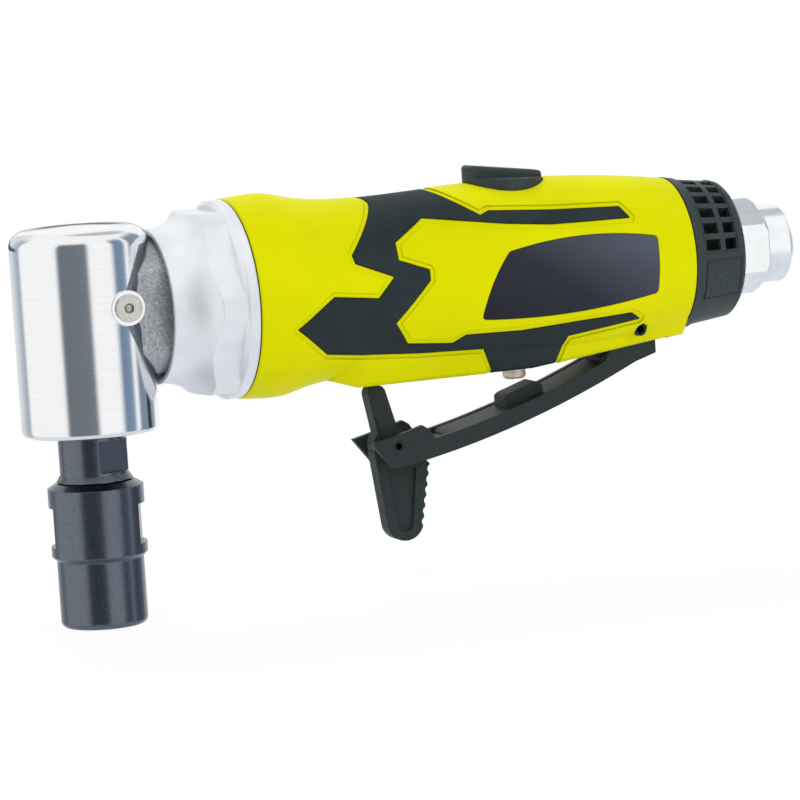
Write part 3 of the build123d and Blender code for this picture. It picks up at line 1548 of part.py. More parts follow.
# Exhaust collar: a ring with two columns of slots over its top that turns to aim the exhaust
collar_rear_x = collar_x + collar_length
with BuildPart() as exhaust_collar:
    with BuildSketch(motor_plane):
        with BuildLine():
            Polyline(
                (collar_x, collar_front_radius - collar_wall),
                (collar_x, collar_front_radius),
                (collar_x + collar_lip, collar_front_radius - collar_lip_step),
                (collar_x + collar_lip, collar_front_radius - 2 * collar_lip_step),
                (collar_rear_x - collar_rear_edge, collar_rear_radius),
                (collar_rear_x, collar_rear_radius - collar_rear_edge),
                (collar_rear_x, inlet_journal_radius + running_gap),
                (collar_rear_x - collar_rear_wall, inlet_journal_radius + running_gap),
                (collar_rear_x - collar_rear_wall, collar_rear_radius - collar_wall),
                close=True,
            )
        make_face()
    revolve(axis=motor_axis)
    for column_x, column_length in collar_slot_columns:
        for row in range(collar_slot_rows):
            angle = 180 - collar_slot_start - row * collar_slot_pitch
            slot_plane = Plane(
                origin=(collar_x + column_x + column_length / 2, 0, motor_axis_z),
                x_dir=(1, 0, 0),
                z_dir=(0, math.cos(math.radians(angle)), math.sin(math.radians(angle))),
            )
            with BuildSketch(slot_plane.offset(felt_radius)):
                Rectangle(column_length, collar_slot_height)
            extrude(amount=collar_front_radius - felt_radius, mode=Mode.SUBTRACT)
    panel_angle = math.radians(180 - collar_panel_start - collar_panel_span)
    panel_plane = Plane(
        origin=(collar_x, 0, motor_axis_z),
        x_dir=(1, 0, 0),
        z_dir=(0, math.sin(panel_angle), -math.cos(panel_angle)),
    )
    collar_slope = (collar_front_radius - 2 * collar_lip_step - collar_rear_radius) / (
        collar_length - collar_lip - collar_rear_edge
    )
    panel_radius = collar_front_radius - 2 * collar_lip_step - (collar_panel_x - collar_lip) * collar_slope
    panel_end_radius = panel_radius - collar_panel_length * collar_slope
    with BuildSketch(panel_plane):
        with BuildLine():
            Polyline(
                (collar_panel_x, panel_radius - collar_panel_depth),
                (collar_panel_x, panel_radius + collar_wall),
                (collar_panel_x + collar_panel_length, panel_end_radius + collar_wall),
                (collar_panel_x + collar_panel_length, panel_end_radius - collar_panel_depth),
                close=True,
            )
        make_face()
    revolve(axis=motor_axis, revolution_arc=collar_panel_span, mode=Mode.SUBTRACT)
    with BuildSketch(motor_section(collar_rear_x)):
        with PolarLocations(collar_rear_radius, collar_notch_count, start_angle=360 / collar_notch_count / 2):
            Circle(collar_notch_radius)
    extrude(amount=-collar_rear_edge, mode=Mode.SUBTRACT)
exhaust_collar.part.label = "exhaust_collar"
export_step(exhaust_collar.part, "parts/exhaust_collar.step")

# Exhaust silencer: a felt ring on the inlet's journal, inside the collar
with BuildPart() as exhaust_silencer:
    with BuildSketch(motor_section(collar_x + felt_gap)):
        Circle(felt_radius)
        Circle(inlet_journal_radius + seat_gap, mode=Mode.SUBTRACT)
    extrude(amount=collar_length - collar_rear_wall - 2 * felt_gap)
exhaust_silencer.part.label = "exhaust_silencer"
export_step(exhaust_silencer.part, "parts/exhaust_silencer.step")

# Air inlet: a plated fitting that screws into the valve block, with a hexagon and a tapped boss
inlet_front_x = tail_rear_x - inlet_thread_length
journal_x = tail_rear_x + o_ring_gap
tap_end_x = inlet_x - inlet_tap_length
with BuildPart() as air_inlet:
    with BuildSketch(motor_section(hex_x)):
        RegularPolygon(inlet_flats / 2, 6, major_radius=False, rotation=30)
    extrude(amount=inlet_hex_width)
    hex_corner_radius = inlet_flats / 2 / math.cos(math.radians(30))
    with BuildSketch(motor_plane):
        with BuildLine():
            Polyline(
                (hex_x, 0),
                (hex_x, hex_corner_radius - inlet_hex_chamfer),
                (hex_x + inlet_hex_chamfer, hex_corner_radius),
                (boss_x - inlet_hex_chamfer, hex_corner_radius),
                (boss_x, hex_corner_radius - inlet_hex_chamfer),
                (boss_x, 0),
                close=True,
            )
        make_face()
    revolve(axis=motor_axis, mode=Mode.INTERSECT)
    with BuildSketch(motor_plane):
        with BuildLine():
            Polyline(
                (inlet_front_x, 0),
                (inlet_front_x, inlet_thread_radius),
                (journal_x, inlet_thread_radius),
                (journal_x, inlet_journal_radius),
                (hex_x, inlet_journal_radius),
                (boss_x, inlet_boss_radius),
                (inlet_x - inlet_boss_edge, inlet_boss_radius),
                (inlet_x, inlet_boss_radius - inlet_boss_edge),
                (inlet_x, 0),
                close=True,
            )
        make_face()
    revolve(axis=motor_axis)
    with BuildSketch(motor_section(inlet_x)):
        Circle(inlet_tap_radius)
    extrude(amount=-inlet_tap_length, mode=Mode.SUBTRACT)
    with BuildSketch(motor_section(tap_end_x)):
        Circle(screen_radius)
    extrude(amount=-screen_width, mode=Mode.SUBTRACT)
    with BuildSketch(motor_section(inlet_front_x)):
        Circle(air_passage_radius)
    extrude(amount=tap_end_x - inlet_front_x, mode=Mode.SUBTRACT)
air_inlet.part.label = "air_inlet"
export_step(air_inlet.part, "parts/air_inlet.step")

inlet_o_ring = o_ring(
    motor_section(tail_rear_x + o_ring_gap / 2), inlet_thread_radius, inlet_thread_radius + o_ring_gap
)
inlet_o_ring.part.label = "inlet_o_ring"
export_step(inlet_o_ring.part, "parts/inlet_o_ring.step")

# Inlet screen: a pierced disc at the bottom of the tapped hole
with BuildPart() as inlet_screen:
    with BuildSketch(motor_section(tap_end_x - screen_width)):
        Circle(screen_radius - seat_gap)
        with GridLocations(screen_hole_pitch, screen_hole_pitch, screen_side, screen_side):
            Circle(screen_hole_radius, mode=Mode.SUBTRACT)
    extrude(amount=screen_width)
inlet_screen.part.label = "inlet_screen"
export_step(inlet_screen.part, "parts/inlet_screen.step")
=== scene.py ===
import math

import bmesh
import bpy
from mathutils import Matrix, Vector


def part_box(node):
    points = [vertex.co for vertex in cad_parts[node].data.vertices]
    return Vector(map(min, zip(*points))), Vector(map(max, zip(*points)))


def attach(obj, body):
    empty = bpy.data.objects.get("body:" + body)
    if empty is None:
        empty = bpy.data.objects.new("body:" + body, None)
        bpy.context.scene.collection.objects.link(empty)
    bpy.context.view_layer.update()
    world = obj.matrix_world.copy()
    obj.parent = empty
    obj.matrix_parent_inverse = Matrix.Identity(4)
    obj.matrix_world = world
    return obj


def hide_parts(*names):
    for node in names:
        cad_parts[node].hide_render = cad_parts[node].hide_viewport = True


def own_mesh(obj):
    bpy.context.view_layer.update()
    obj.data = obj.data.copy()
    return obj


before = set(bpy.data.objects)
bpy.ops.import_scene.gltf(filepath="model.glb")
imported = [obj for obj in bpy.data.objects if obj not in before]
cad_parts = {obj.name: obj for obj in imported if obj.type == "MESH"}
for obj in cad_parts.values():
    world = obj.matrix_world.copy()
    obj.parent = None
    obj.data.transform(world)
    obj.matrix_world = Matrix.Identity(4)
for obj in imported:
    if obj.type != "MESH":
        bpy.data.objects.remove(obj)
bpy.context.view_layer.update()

# Spindle, collet nut and bearing cap. Turned from alloy steel, hardened and blackened in a hot
# alkaline bath; the nut screws onto the spindle's nose and the cap into the bottom of the head.


def linear(hex_colour):
    """An sRGB hex colour as the linear red, green, blue and alpha that Blender's sockets take."""
    parts = [int(hex_colour[i : i + 2], 16) / 255 for i in (1, 3, 5)]
    return [c / 12.92 if c <= 0.04045 else ((c + 0.055) / 1.055) ** 2.4 for c in parts] + [1.0]


def add_node(tree, kind, settings=None, links=None):
    """Adds a node. Settings name its sockets, its own properties or a ramp's stops; links feed its sockets.

    Sockets that share a name go by number. A mix node takes colours at 6 and 7 and gives one at 2; it takes plain
    values at 2 and 3 and gives one at 0.
    """
    node = tree.nodes.new(kind)
    for name, value in (settings or {}).items():
        if name == "stops":
            ramp = node.color_ramp.elements
            ramp[0].position, ramp[0].color = value[0][0], linear(value[0][1])
            ramp[-1].position, ramp[-1].color = value[-1][0], linear(value[-1][1])
            for position, hex_colour in value[1:-1]:
                ramp.new(position).color = linear(hex_colour)
        elif isinstance(name, int) or name in node.inputs:
            node.inputs[name].default_value = value
        else:
            setattr(node, name, value)
    for name, source in (links or {}).items():
        tree.links.new(source, node.inputs[name])
    return node


def new_finish(name, metallic, roughness, edge_mm):
    """A material with its shader, the place on the object in metres, and the normal of edges rounded by edge_mm."""
    material = bpy.data.materials.new(name)
    material.use_nodes = True
    tree = material.node_tree
    shader = tree.nodes["Principled BSDF"]
    shader.inputs["Metallic"].default_value = metallic
    shader.inputs["Roughness"].default_value = roughness
    place = add_node(tree, "ShaderNodeTexCoord").outputs["Object"]
    edge = add_node(tree, "ShaderNodeBevel", {"Radius": edge_mm / 1000, "samples": 6}).outputs["Normal"]
    return material, tree, shader, place, edge


def give(material, *nodes):
    """Puts a material on CAD nodes."""
    for name in nodes:
        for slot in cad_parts[name].material_slots:
            slot.material = material


def add_loft(name, loops, material, body, ring=False):
    """A closed piece through loops of points in metres, on a body. A ring joins up; other lofts have capped ends."""
    crease_angle = math.radians(30)
    form = bmesh.new()
    rows = [[form.verts.new(point) for point in loop] for loop in loops]
    for row, following in zip(rows, rows[1:] + rows[:1] if ring else rows[1:]):
        for i in range(len(row)):
            j = (i + 1) % len(row)
            form.faces.new((row[i], row[j], following[j], following[i]))
    if not ring:
        form.faces.new(list(reversed(rows[0])))
        form.faces.new(rows[-1])
    bmesh.ops.recalc_face_normals(form, faces=form.faces)
    mesh = bpy.data.meshes.new(name)
    form.to_mesh(mesh)
    form.free()
    mesh.shade_smooth()
    mesh.set_sharp_from_angle(angle=crease_angle)
    mesh.materials.append(material)
    piece = bpy.data.objects.new(name, mesh)
    bpy.context.scene.collection.objects.link(piece)
    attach(piece, body)
    return piece


# Black oxide on turned steel: blue-black with a satin shine along the turned sides, and a fine dark grain. The
# lathe's rings are 0.12 mm apart on the real part and are drawn at 0.4 mm so that they show, in streaks of 17 mm.
ring_mm = 0.4
ring_streak_mm = 16.667
grain_mm = 0.22
black_oxide, tree, shader, place, edge = new_finish("black_oxide_steel", metallic=1.0, roughness=0.24, edge_mm=0.4)
ring_scale = (1000 / ring_streak_mm, 1000 / ring_streak_mm, 1000 / ring_mm)
rings = add_node(tree, "ShaderNodeMapping", {"Scale": ring_scale}, {"Vector": place})
lathe = add_node(tree, "ShaderNodeTexNoise", {"Scale": 1.0, "Detail": 2.0}, {"Vector": rings.outputs["Vector"]})
grain = add_node(tree, "ShaderNodeTexNoise", {"Scale": 1000 / grain_mm, "Detail": 3.0}, {"Vector": place})
colour = add_node(
    tree,
    "ShaderNodeValToRGB",
    {"stops": [(0.3, "#596069"), (0.5, "#676D76"), (0.7, "#777D87")]},
    {"Fac": grain.outputs["Fac"]},
)
tree.links.new(colour.outputs["Color"], shader.inputs["Base Color"])
gloss = add_node(tree, "ShaderNodeMapRange", {"To Min": 0.16, "To Max": 0.34}, {"Value": grain.outputs["Fac"]})
tree.links.new(gloss.outputs["Result"], shader.inputs["Roughness"])
rough = add_node(
    tree, "ShaderNodeBump", {"Strength": 0.04, "Distance": 0.00003}, {"Height": lathe.outputs["Fac"], "Normal": edge}
)
tree.links.new(rough.outputs["Normal"], shader.inputs["Normal"])
give(black_oxide, "spindle", "collet_nut", "bearing_cap")

# Collet. A spring steel sleeve, ground inside and on its taper, slit from the mouth so that the nut
# closes it on the tool's shank.
#
# Ground steel is a grey satin mirror with fine rings, 0.05 mm apart and drawn at 0.3 mm, in streaks of 12.5 mm.
ground_mm = 0.3
ground_streak_mm = 12.5
ground_steel, tree, shader, place, edge = new_finish("ground_spring_steel", metallic=1.0, roughness=0.28, edge_mm=0.1)
ground_scale = (1000 / ground_streak_mm, 1000 / ground_streak_mm, 1000 / ground_mm)
rings = add_node(tree, "ShaderNodeMapping", {"Scale": ground_scale}, {"Vector": place})
lathe = add_node(tree, "ShaderNodeTexNoise", {"Scale": 1.0, "Detail": 2.0}, {"Vector": rings.outputs["Vector"]})
colour = add_node(
    tree, "ShaderNodeValToRGB", {"stops": [(0.3, "#8C8E92"), (0.7, "#B9BBBF")]}, {"Fac": lathe.outputs["Fac"]}
)
tree.links.new(colour.outputs["Color"], shader.inputs["Base Color"])
rough = add_node(
    tree, "ShaderNodeBump", {"Strength": 0.1, "Distance": 0.00003}, {"Height": lathe.outputs["Fac"], "Normal": edge}
)
tree.links.new(rough.outputs["Normal"], shader.inputs["Normal"])
give(ground_steel, "collet")

# Ball bearings. Rings and balls of chromium steel, ground and polished; the outer rings are pressed
# into the head and the end plates, the inner rings onto the shafts.
#
# Polished steel mirrors sharply, with a slight haze in patches of about 1.2 mm.
polish_mm = 1.2
bearing_steel, tree, shader, place, edge = new_finish(
    "polished_bearing_steel", metallic=1.0, roughness=0.14, edge_mm=0.15
)
haze = add_node(tree, "ShaderNodeTexNoise", {"Scale": 1000 / polish_mm, "Detail": 4.0}, {"Vector": place})
colour = add_node(
    tree, "ShaderNodeValToRGB", {"stops": [(0.3, "#A9ABAE"), (0.7, "#C9CACC")]}, {"Fac": haze.outputs["Fac"]}
)
tree.links.new(colour.outputs["Color"], shader.inputs["Base Color"])
gloss = add_node(tree, "ShaderNodeMapRange", {"To Min": 0.08, "To Max": 0.22}, {"Value": haze.outputs["Fac"]})
tree.links.new(gloss.outputs["Result"], shader.inputs["Roughness"])
tree.links.new(edge, shader.inputs["Normal"])
for bearing in (
    "spindle_lower_bearing",
    "spindle_upper_bearing",
    "pinion_bearing",
    "rotor_front_bearing",
    "rotor_rear_bearing",
):
    give(bearing_steel, bearing + "_outer_ring", bearing + "_inner_ring", bearing + "_balls")

# Bevel gears, the square drive and the rotor. Cut from case-hardening steel and oiled; the pinion turns in its
# own bearing and the gear is pressed onto the spindle.
#
# Hardened steel is a warm dark grey with cutter marks of about 0.4 mm.
cutter_mm = 0.4
gear_steel, tree, shader, place, edge = new_finish("case_hardened_steel", metallic=1.0, roughness=0.3, edge_mm=0.1)
marks = add_node(tree, "ShaderNodeTexNoise", {"Scale": 1000 / cutter_mm, "Detail": 3.0}, {"Vector": place})
colour = add_node(
    tree, "ShaderNodeValToRGB", {"stops": [(0.3, "#6E6C6A"), (0.7, "#96938F")]}, {"Fac": marks.outputs["Fac"]}
)
tree.links.new(colour.outputs["Color"], shader.inputs["Base Color"])
rough = add_node(
    tree, "ShaderNodeBump", {"Strength": 0.15, "Distance": 0.00003}, {"Height": marks.outputs["Fac"], "Normal": edge}
)
tree.links.new(rough.outputs["Normal"], shader.inputs["Normal"])
give(gear_steel, "bevel_gear", "drive_pinion", "drive_coupling", "rotor")

# Retaining rings and valve spring. Spring steel, stamped from strip or wound from wire and tempered. One ring snaps
# into the spindle above the gear, the other into the head beside the pinion's bearing; the coil closes the valve.
#
# Tempering leaves it grey with a straw tint, in clouds of about 0.8 mm.
temper_mm = 0.8
spring_steel, tree, shader, place, edge = new_finish("tempered_spring_steel", metallic=1.0, roughness=0.34, edge_mm=0.1)
tint = add_node(tree, "ShaderNodeTexNoise", {"Scale": 1000 / temper_mm, "Detail": 3.0}, {"Vector": place})
colour = add_node(
    tree, "ShaderNodeValToRGB", {"stops": [(0.3, "#7C7A76"), (0.7, "#A8A5A0")]}, {"Fac": tint.outputs["Fac"]}
)
tree.links.new(colour.outputs["Color"], shader.inputs["Base Color"])
gloss = add_node(tree, "ShaderNodeMapRange", {"To Min": 0.25, "To Max": 0.42}, {"Value": tint.outputs["Fac"]})
tree.links.new(gloss.outputs["Result"], shader.inputs["Roughness"])
tree.links.new(edge, shader.inputs["Normal"])
give(spring_steel, "gear_circlip", "pinion_circlip", "valve_spring")

# The valve spring is wound anew here from wire, over the height of the solid spring. The real spring shortens when
# the plunger lifts the poppet; its top stays in the spool.
wire_radius = 0.00035
wire_sides = 12
coil_turns = 5
coil_steps = 32
coil_low, coil_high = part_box("valve_spring")
coil_height = coil_high.z - coil_low.z
coil_radius = (coil_high.x - coil_low.x) / 2 - wire_radius
coil_loops = []
for step in range(coil_turns * coil_steps + 1):
    angle = 2 * math.pi * step / coil_steps
    away = Vector((math.cos(angle), math.sin(angle), 0))
    wire_middle = (coil_low + coil_high) / 2 + away * coil_radius
    wire_middle.z = coil_low.z + wire_radius
    wire_middle.z += (coil_height - 2 * wire_radius) * step / (coil_turns * coil_steps)
    coil_loops.append(
        [
            wire_middle
            + away * wire_radius * math.cos(2 * math.pi * side / wire_sides)
            + Vector((0, 0, wire_radius * math.sin(2 * math.pi * side / wire_sides)))
            for side in range(wire_sides)
        ]
    )
valve_coil = add_loft("valve_coil", coil_loops, spring_steel, "housing")
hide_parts("valve_spring")
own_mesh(valve_coil)

# Roll pins and latch spring. Rolled from strip or wound from wire and phosphated black; one pin carries the lever
# in the handle, the other carries the latch and its spring in the lever's fork.
#
# Phosphate is matt and nearly black, with crystals of about 0.2 mm that glint a little.
crystal_mm = 0.2
phosphate, tree, shader, place, edge = new_finish("black_phosphate_steel", metallic=0.6, roughness=0.45, edge_mm=0.15)
crystal = add_node(tree, "ShaderNodeTexNoise", {"Scale": 1000 / crystal_mm, "Detail": 2.0}, {"Vector": place})
colour = add_node(
    tree, "ShaderNodeValToRGB", {"stops": [(0.3, "#1C1E20"), (0.7, "#34373A")]}, {"Fac": crystal.outputs["Fac"]}
)
tree.links.new(colour.outputs["Color"], shader.inputs["Base Color"])
gloss = add_node(tree, "ShaderNodeMapRange", {"To Min": 0.35, "To Max": 0.6}, {"Value": crystal.outputs["Fac"]})
tree.links.new(gloss.outputs["Result"], shader.inputs["Roughness"])
tree.links.new(edge, shader.inputs["Normal"])
give(phosphate, "lever_pin", "latch_pin", "latch_spring")

# Angle head. Cast in aluminium, its outside turned and buffed bright, its neck left as it came out of the
# mould; the clamp nut pulls the neck's flange against the motor.
#
# Buffed aluminium mirrors its surroundings in upright bands and blurs them across the turning lines, which are
# 0.05 mm apart and are drawn at 0.3 mm, in streaks of 11 mm. The casting's skin is grey and sandy, with 0.5 mm grains.
# The pockets beside the neck, walls and edges, are rougher, being unbuffed, and are painted a darker grey: painted
# shade for the shadow and dark reflections inside them. A pocket's edge starts at pocket_root, at the height of
# pocket_middle, and leans back by pocket_lean above and below.
turning_mm = 0.3
turning_streak_mm = 11.111
sand_mm = 0.5
head_radius = 0.01535
pocket_margin = 0.00003
cast_margin = 0.00006
neck_flat = 0.01235
neck_start = 0.0088
pocket_root = 0.0037
pocket_lean = 0.483
pocket_middle = 0.0707
far_pocket_start = 0.0086
pocket_half_width = 0.00805
pocket_foot = 0.05
pocket_top = 0.0845
buffed, tree, shader, place, edge = new_finish("buffed_aluminium", metallic=1.0, roughness=0.12, edge_mm=0.3)
turning_scale = (1000 / turning_streak_mm, 1000 / turning_streak_mm, 1000 / turning_mm)
lines = add_node(tree, "ShaderNodeMapping", {"Scale": turning_scale}, {"Vector": place})
turning = add_node(tree, "ShaderNodeTexNoise", {"Scale": 1.0, "Detail": 3.0}, {"Vector": lines.outputs["Vector"]})
sand = add_node(tree, "ShaderNodeTexNoise", {"Scale": 1000 / sand_mm, "Detail": 4.0}, {"Vector": place})
at = add_node(tree, "ShaderNodeSeparateXYZ", links={"Vector": place})
flat_place = add_node(tree, "ShaderNodeVectorMath", {"operation": "MULTIPLY", 1: (1, 1, 0)}, {0: place})
from_spindle = add_node(tree, "ShaderNodeVectorMath", {"operation": "LENGTH"}, {0: flat_place.outputs["Vector"]})
outside = add_node(
    tree,
    "ShaderNodeMath",
    {"operation": "GREATER_THAN", 1: head_radius + cast_margin},
    {0: from_spindle.outputs["Value"]},
)
beyond = add_node(tree, "ShaderNodeMath", {"operation": "GREATER_THAN", 1: neck_start}, {0: at.outputs["X"]})
sideways = add_node(tree, "ShaderNodeMath", {"operation": "ABSOLUTE"}, {0: at.outputs["Y"]})
within = add_node(tree, "ShaderNodeMath", {"operation": "LESS_THAN", 1: neck_flat}, {0: sideways.outputs["Value"]})
neck = add_node(
    tree, "ShaderNodeMath", {"operation": "MULTIPLY"}, {0: outside.outputs["Value"], 1: beyond.outputs["Value"]}
)
cast_skin = add_node(
    tree, "ShaderNodeMath", {"operation": "MULTIPLY"}, {0: neck.outputs["Value"], 1: within.outputs["Value"]}
)
not_proud = add_node(
    tree,
    "ShaderNodeMath",
    {"operation": "LESS_THAN", 1: head_radius + pocket_margin},
    {0: from_spindle.outputs["Value"]},
)
from_middle = add_node(tree, "ShaderNodeMath", {"operation": "SUBTRACT", 1: pocket_middle}, {0: at.outputs["Z"]})
up_or_down = add_node(tree, "ShaderNodeMath", {"operation": "ABSOLUTE"}, {0: from_middle.outputs["Value"]})
pocket_edge = add_node(
    tree,
    "ShaderNodeMath",
    {"operation": "MULTIPLY_ADD", 1: pocket_lean, 2: pocket_root},
    {0: up_or_down.outputs["Value"]},
)
behind = add_node(
    tree, "ShaderNodeMath", {"operation": "GREATER_THAN"}, {0: at.outputs["X"], 1: pocket_edge.outputs["Value"]}
)
far_side = add_node(tree, "ShaderNodeMath", {"operation": "GREATER_THAN", 1: 0}, {0: at.outputs["Y"]})
far_start = add_node(
    tree, "ShaderNodeMath", {"operation": "MULTIPLY", 1: far_pocket_start}, {0: far_side.outputs["Value"]}
)
beyond_start = add_node(
    tree, "ShaderNodeMath", {"operation": "GREATER_THAN"}, {0: at.outputs["X"], 1: far_start.outputs["Value"]}
)
beside = add_node(
    tree, "ShaderNodeMath", {"operation": "GREATER_THAN", 1: pocket_half_width}, {0: sideways.outputs["Value"]}
)
under_top = add_node(tree, "ShaderNodeMath", {"operation": "LESS_THAN", 1: pocket_top}, {0: at.outputs["Z"]})
above_foot = add_node(tree, "ShaderNodeMath", {"operation": "GREATER_THAN", 1: pocket_foot}, {0: at.outputs["Z"]})
pocket = not_proud
for bound in (behind, beyond_start, beside, under_top, above_foot):
    pocket = add_node(
        tree, "ShaderNodeMath", {"operation": "MULTIPLY"}, {0: pocket.outputs["Value"], 1: bound.outputs["Value"]}
    )
bright = add_node(
    tree, "ShaderNodeValToRGB", {"stops": [(0.3, "#EFF0F1"), (0.7, "#F6F6F7")]}, {"Fac": turning.outputs["Fac"]}
)
# Painted shade: the pocket walls and edges take this darker grey instead of the bright buffed colour, for the shadow
# and dark reflections in the pockets.
pocket_painted_shade = add_node(
    tree, "ShaderNodeValToRGB", {"stops": [(0.3, "#92979D"), (0.7, "#AAAFB5")]}, {"Fac": sand.outputs["Fac"]}
)
bright_or_painted_shade = add_node(
    tree,
    "ShaderNodeMix",
    {"data_type": "RGBA"},
    {"Factor": pocket.outputs["Value"], 6: bright.outputs["Color"], 7: pocket_painted_shade.outputs["Color"]},
)
dull = add_node(
    tree,
    "ShaderNodeValToRGB",
    {"stops": [(0.32, "#AEB0B4"), (0.55, "#CDCFD3"), (0.72, "#E4E6E9")]},
    {"Fac": sand.outputs["Fac"]},
)
colour = add_node(
    tree,
    "ShaderNodeMix",
    {"data_type": "RGBA"},
    {"Factor": cast_skin.outputs["Value"], 6: bright_or_painted_shade.outputs[2], 7: dull.outputs["Color"]},
)
tree.links.new(colour.outputs[2], shader.inputs["Base Color"])
smooth = add_node(tree, "ShaderNodeMapRange", {"To Min": 0.08, "To Max": 0.17}, {"Value": turning.outputs["Fac"]})
worked = add_node(
    tree,
    "ShaderNodeMix",
    {"data_type": "FLOAT", 3: 0.4},
    {"Factor": pocket.outputs["Value"], 2: smooth.outputs["Result"]},
)
roughness = add_node(
    tree,
    "ShaderNodeMix",
    {"data_type": "FLOAT", 3: 0.62},
    {"Factor": cast_skin.outputs["Value"], 2: worked.outputs[0]},
)
tree.links.new(roughness.outputs[0], shader.inputs["Roughness"])
fine = add_node(
    tree,
    "ShaderNodeBump",
    {"Strength": 0.014, "Distance": 0.00003},
    {"Height": turning.outputs["Fac"], "Normal": edge},
)
coarse_height = add_node(
    tree, "ShaderNodeMath", {"operation": "MULTIPLY"}, {0: sand.outputs["Fac"], 1: cast_skin.outputs["Value"]}
)
coarse = add_node(
    tree,
    "ShaderNodeBump",
    {"Strength": 0.6, "Distance": 0.0002},
    {"Height": coarse_height.outputs["Value"], "Normal": fine.outputs["Normal"]},
)
tree.links.new(coarse.outputs["Normal"], shader.inputs["Normal"])
give(buffed, "angle_head")

# The head's top is crowned by the buffing wheel: level in the middle, then falling softly to the rounded edge. The
# crown's rim stands just clear of the solid's flat top, and its foot lies below it.
crown_radius = 0.01155
crown_rise = 0.0005
crown_level = 0.06
crown_lift = 0.000003
crown_sink = 0.0001
crown_rings = 28
crown_sides = 96
head_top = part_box("angle_head")[1].z
crown_loops = []
for ring in range(crown_rings + 1):
    share = 1 - ring / crown_rings * (1 - crown_level / 2)
    fall = min(max((share - crown_level) / (1 - crown_level), 0), 1)
    rise = crown_rise * (1 - fall * fall * (3 - 2 * fall))
    crown_loops.append(
        [
            (
                share * crown_radius * math.cos(2 * math.pi * side / crown_sides),
                share * crown_radius * math.sin(2 * math.pi * side / crown_sides),
                head_top + crown_lift + rise,
            )
            for side in range(crown_sides)
        ]
    )
crown_loops.insert(0, [(x, y, head_top - crown_sink) for x, y, z in crown_loops[0]])
add_loft("head_crown", crown_loops, buffed, "housing")

# Grease nipple. A steel body with a sprung ball, zinc plated and pressed into the boss on the head's near side; a
# grease gun is pushed onto it to reach the gears.
#
# Zinc is creamy and half dull, with a crystal bloom of about 0.5 mm.
bloom_mm = 0.5
zinc, tree, shader, place, edge = new_finish("zinc_plated_steel", metallic=1.0, roughness=0.34, edge_mm=0.12)
crystal = add_node(tree, "ShaderNodeTexNoise", {"Scale": 1000 / bloom_mm, "Detail": 3.0}, {"Vector": place})
colour = add_node(
    tree, "ShaderNodeValToRGB", {"stops": [(0.3, "#C6C4BA"), (0.7, "#E2E0D8")]}, {"Fac": crystal.outputs["Fac"]}
)
tree.links.new(colour.outputs["Color"], shader.inputs["Base Color"])
gloss = add_node(tree, "ShaderNodeMapRange", {"To Min": 0.26, "To Max": 0.42}, {"Value": crystal.outputs["Fac"]})
tree.links.new(gloss.outputs["Result"], shader.inputs["Roughness"])
tree.links.new(edge, shader.inputs["Normal"])
give(zinc, "grease_nipple")

# Air inlet. Turned from hexagon steel bar with bright nickel plate; it screws into the valve block and holds the
# exhaust collar on its journal.
#
# Nickel is a white mirror, clouded in soft patches of about 3 mm by the bath. The inlet's thread is a G1/4,
# 1.337 mm from crest to crest, and its crests are drawn in the bore's normals.
cloud_mm = 3.0
thread_mm = 1.337
bore_radius = 0.00605
bore_start = 0.15
motor_axis_z = 0.0693
nickel, tree, shader, place, edge = new_finish("nickel_plated_steel", metallic=1.0, roughness=0.16, edge_mm=0.35)
cloud = add_node(tree, "ShaderNodeTexNoise", {"Scale": 1000 / cloud_mm, "Detail": 2.0}, {"Vector": place})
colour = add_node(
    tree, "ShaderNodeValToRGB", {"stops": [(0.3, "#F0F3F5"), (0.7, "#FAFBFC")]}, {"Fac": cloud.outputs["Fac"]}
)
tree.links.new(colour.outputs["Color"], shader.inputs["Base Color"])
gloss = add_node(tree, "ShaderNodeMapRange", {"To Min": 0.14, "To Max": 0.26}, {"Value": cloud.outputs["Fac"]})
tree.links.new(gloss.outputs["Result"], shader.inputs["Roughness"])
at = add_node(tree, "ShaderNodeSeparateXYZ", links={"Vector": place})
height = add_node(tree, "ShaderNodeMath", {"operation": "SUBTRACT", 1: motor_axis_z}, {0: at.outputs["Z"]})
turn = add_node(
    tree, "ShaderNodeMath", {"operation": "ARCTAN2"}, {0: height.outputs["Value"], 1: at.outputs["Y"]}
)
along = add_node(
    tree, "ShaderNodeMath", {"operation": "MULTIPLY", 1: 2 * math.pi * 1000 / thread_mm}, {0: at.outputs["X"]}
)
wound = add_node(
    tree, "ShaderNodeMath", {"operation": "ADD"}, {0: along.outputs["Value"], 1: turn.outputs["Value"]}
)
crest = add_node(tree, "ShaderNodeMath", {"operation": "SINE"}, {0: wound.outputs["Value"]})
across = add_node(
    tree, "ShaderNodeCombineXYZ", links={"X": at.outputs["Y"], "Y": height.outputs["Value"]}
)
from_axis = add_node(tree, "ShaderNodeVectorMath", {"operation": "LENGTH"}, {0: across.outputs["Vector"]})
in_bore = add_node(
    tree, "ShaderNodeMath", {"operation": "LESS_THAN", 1: bore_radius}, {0: from_axis.outputs["Value"]}
)
in_inlet = add_node(tree, "ShaderNodeMath", {"operation": "GREATER_THAN", 1: bore_start}, {0: at.outputs["X"]})
threaded = add_node(
    tree, "ShaderNodeMath", {"operation": "MULTIPLY"}, {0: in_bore.outputs["Value"], 1: in_inlet.outputs["Value"]}
)
thread = add_node(
    tree, "ShaderNodeMath", {"operation": "MULTIPLY"}, {0: crest.outputs["Value"], 1: threaded.outputs["Value"]}
)
relief = add_node(
    tree,
    "ShaderNodeBump",
    {"Strength": 1.0, "Distance": 0.0004},
    {"Height": thread.outputs["Value"], "Normal": edge},
)
tree.links.new(relief.outputs["Normal"], shader.inputs["Normal"])
give(nickel, "air_inlet")

